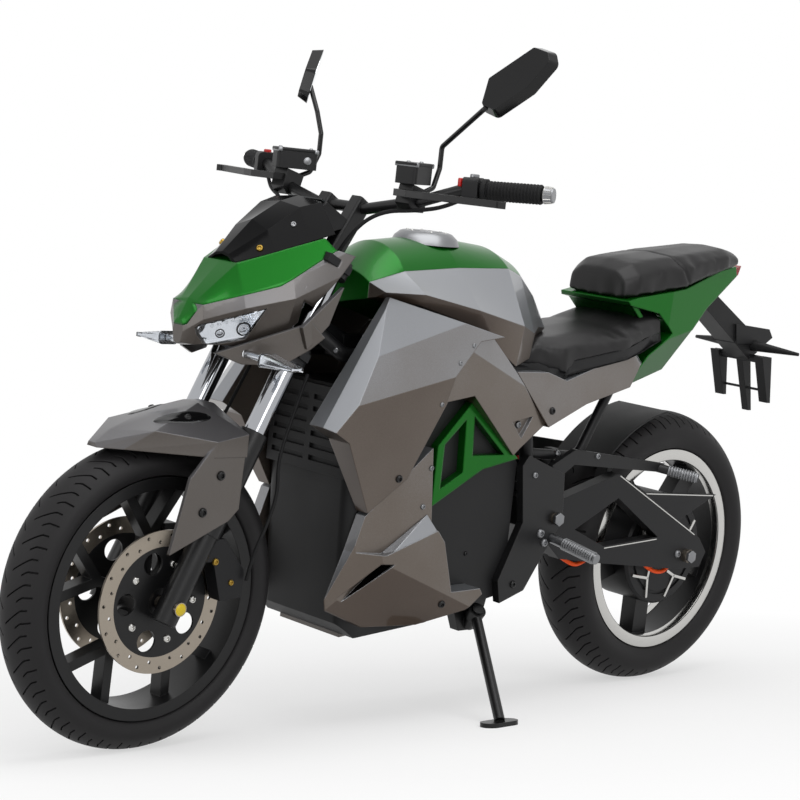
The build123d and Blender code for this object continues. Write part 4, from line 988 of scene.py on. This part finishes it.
# %% Charging flap and display pane
FLANGE = [(70, -22), (64, -9), (53, 0.5), (49, 2), (45, 3)]
CAP = [(36, 3), (35, 0.5), (33, 0.5), (32, 4), (12, 5), (11, 3), (0, 3)]
place, normal = seat_on("charge_cap", (84, 0, 1200), (0, 0, -1))
bm = bmesh.new()
turned(bm, FLANGE + CAP, place, normal, 64)
for number in range(6):
    turn = math.radians(60 * number)
    spot = place + Vector((40 * math.cos(turn), 40 * math.sin(turn), 3))
    turned(bm, button_screw(3), spot, normal, 16, 1)
block(bm, (10, 2, 2), Matrix.Translation(place + normal * 4), 0.5, 1)
piece(bm, "charging_flap", "chassis", "aluminium", aluminium, polished)

place, normal = seat_on("dash", (392, 0, 1200), (0, 0, -1))
bm = bmesh.new()
block(bm, (100, 56, 3), aim(place, normal), 1.2, 0)
piece(bm, "display_pane", "steering", "black_plastic", display_glass)

# %% [markdown]
# ## Shock spring
# The single shock absorber stands in front of the rear wheel. Its coil spring is a circle spun
# about the shock's axis while it climbs, which is what the spin operator's offset per step does.

# %% Coil spring
shock_foot, shock_top = Vector((-268, 0, 445)), Vector((-218, 0, 700))
along = shock_top - shock_foot
turns, steps = 7, 7 * 24
climb = along.length * 0.72 / steps
bm = bmesh.new()
wire = Matrix.Translation((31, 0, along.length * 0.16)) @ Matrix.Rotation(math.pi / 2, 4, "X")
bmesh.ops.create_circle(bm, segments=10, radius=4.5, matrix=wire)
bmesh.ops.spin(
    bm, geom=bm.verts[:] + bm.edges[:], cent=(0, 0, 0), axis=(0, 0, 1), dvec=(0, 0, climb),
    angle=2 * math.pi * turns, steps=steps,
)
bmesh.ops.holes_fill(bm, edges=[e for e in bm.edges if e.is_boundary])
bm.transform(aim(shock_foot, along))
piece(bm, "shock_spring", "chassis", "steel", red_plastic)

# %% [markdown]
# ## Hoses and leads
# Two brake hoses run down behind the fork legs to the calipers, a lead runs from each switch box
# under the bar to the head, and an orange high-voltage lead runs behind the left arm of the
# swingarm to the motor. A hose is a curve with a round bevel. Its points are few, because a hose
# bends in long arcs.

# %% Brake hoses, switch leads and motor lead


def hose(name, body, route, radius, material):
    """Round hose along given points, upright, from where it leaves the machine to its far end."""
    data = bpy.data.curves.new(name, "CURVE")
    data.dimensions = "3D"
    line = data.splines.new("NURBS")
    line.points.add(len(route) - 1)
    for point, spot in zip(line.points, route):
        point.co = (*(UPRIGHT @ Vector(spot)), 1)
    line.order_u = 3
    line.use_endpoint_u = True
    line.resolution_u = 12
    made = bpy.data.objects.new(name, data)
    scene.collection.objects.link(made)
    bpy.context.view_layer.update()
    trace = made.to_mesh()
    made.to_mesh_clear()
    data.bevel_depth = radius / 1000
    data.bevel_resolution = 4
    data.use_fill_caps = True
    data.materials.append(material)
    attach(made, body)


pairs = {
    "brake_hose": (3.5, [
        (560, 112, 334), (556, 118, 383), (528, 120, 444), (508, 116, 500),
        (506, 104, 560), (470, 92, 640), (436, 84, 720),
    ]),
    "switch_lead": (4, [
        (272, 292, 1086), (290, 262, 1064), (318, 214, 1050),
        (352, 150, 1042), (380, 104, 1000), (398, 84, 944),
    ]),
}
for side, word in ((1, "left"), (-1, "right")):
    for name, (radius, left) in pairs.items():
        route = [(x, side * y, z) for x, y, z in left]
        hose(f"{word}_{name}", "steering", route, radius, grip_rubber)
lead = [
    (-262, 90, 372), (-310, 90, 340), (-352, 90, 316), (-386, 92, 302), (-420, 90, 312), (-470, 88, 332),
    (-540, 88, 326), (-610, 88, 300), (-650, 90, 274), (-690, 92, 268), (-716, 90, 286), (-720, 88, 300),
]
hose("motor_lead", "chassis", lead, 5, orange_sheath)

# %% [markdown]
# ## Floor
# A studio sweep is painted matt white. It looks plain white to the camera, but near the machine it
# is still a lit floor, so the shadow under the tyres stays. The two are blended by the distance
# from the machine, and only for rays that come from the camera, a reflection or a clear cover.

# %% White sweep


def looked_at(tree):
    """Output that is 1 for a ray from the camera, a reflection or a clear cover, and 0 for light."""
    rays = node(tree, "LightPath")
    direct = node(tree, "Math", {0: rays.outputs["Is Camera Ray"], 1: rays.outputs["Is Glossy Ray"]})
    seen = node(tree, "Math", {0: direct.outputs[0], 1: rays.outputs["Is Transmission Ray"]}, use_clamp=True)
    return seen.outputs[0]


sweep_paint, tree, surface = finish(
    "white_sweep", Base_Color=colour("#f4f4f4"), Roughness=0.9, Specular_IOR_Level=0.0
)
spot = node(tree, "TexCoord").outputs["Object"]
away = node(tree, "VectorMath", {0: spot}, operation="LENGTH")
fade = node(tree, "MapRange", {"Value": away.outputs["Value"], "From Min": 0.7, "From Max": 2.2})
fade.inputs["To Min"].default_value = 0.55
white = node(tree, "Math", {0: looked_at(tree), 1: fade.outputs["Result"]}, operation="MULTIPLY")
glow = node(tree, "Emission", {"Color": (1, 1, 1, 1), "Strength": 1.0})
mixed = {0: white.outputs[0], 1: surface.outputs["BSDF"], 2: glow.outputs["Emission"]}
blend = node(tree, "MixShader", mixed)
tree.links.new(blend.outputs["Shader"], tree.nodes["Material Output"].inputs["Surface"])
FLOOR_HALF = 30
bm = bmesh.new()
bmesh.ops.create_grid(bm, x_segments=1, y_segments=1, size=FLOOR_HALF)
mesh = bpy.data.meshes.new("floor")
bm.to_mesh(mesh)
bm.free()
mesh.materials.append(sweep_paint)
floor = bpy.data.objects.new("floor", mesh)
scene.collection.objects.link(floor)
print("floor of", FLOOR_HALF * 2, "m")

# %% [markdown]
# ## World and lights
# The world is white to the eye and to reflections, and dimmer as a light. One large soft box hangs
# overhead, one stands on the left and one in front. Big sources make the long soft highlights that
# show the panels' facets.

# %% World and soft boxes
MACHINE_MIDDLE = Vector((0, 0, 0.6))
world = bpy.data.worlds.new("studio")
scene.world = world
world.use_nodes = True
tree = world.node_tree
tree.nodes.clear()
level = node(tree, "MapRange", {"Value": looked_at(tree), "To Min": 0.45, "To Max": 1.0})
sky = node(tree, "Background", {"Color": (1, 1, 1, 1), "Strength": level.outputs["Result"]})
node(tree, "OutputWorld", {"Surface": sky.outputs["Background"]})

soft_boxes = {
    "overhead_box": ((0.3, 0.8, 3.2), 2.6, 55),
    "left_box": ((1.2, 3.6, 1.8), 1.8, 40),
    "front_box": ((3.8, -0.6, 1.6), 1.6, 20),
}
for name, (spot, size, power) in soft_boxes.items():
    lamp = bpy.data.lights.new(name, "AREA")
    lamp.size = size
    lamp.energy = power
    box = bpy.data.objects.new(name, lamp)
    box.location = spot
    box.rotation_mode = "QUATERNION"
    box.rotation_quaternion = (MACHINE_MIDDLE - Vector(spot)).to_track_quat("-Z", "Y")
    scene.collection.objects.link(box)
print("lit by", len(soft_boxes), "soft boxes")
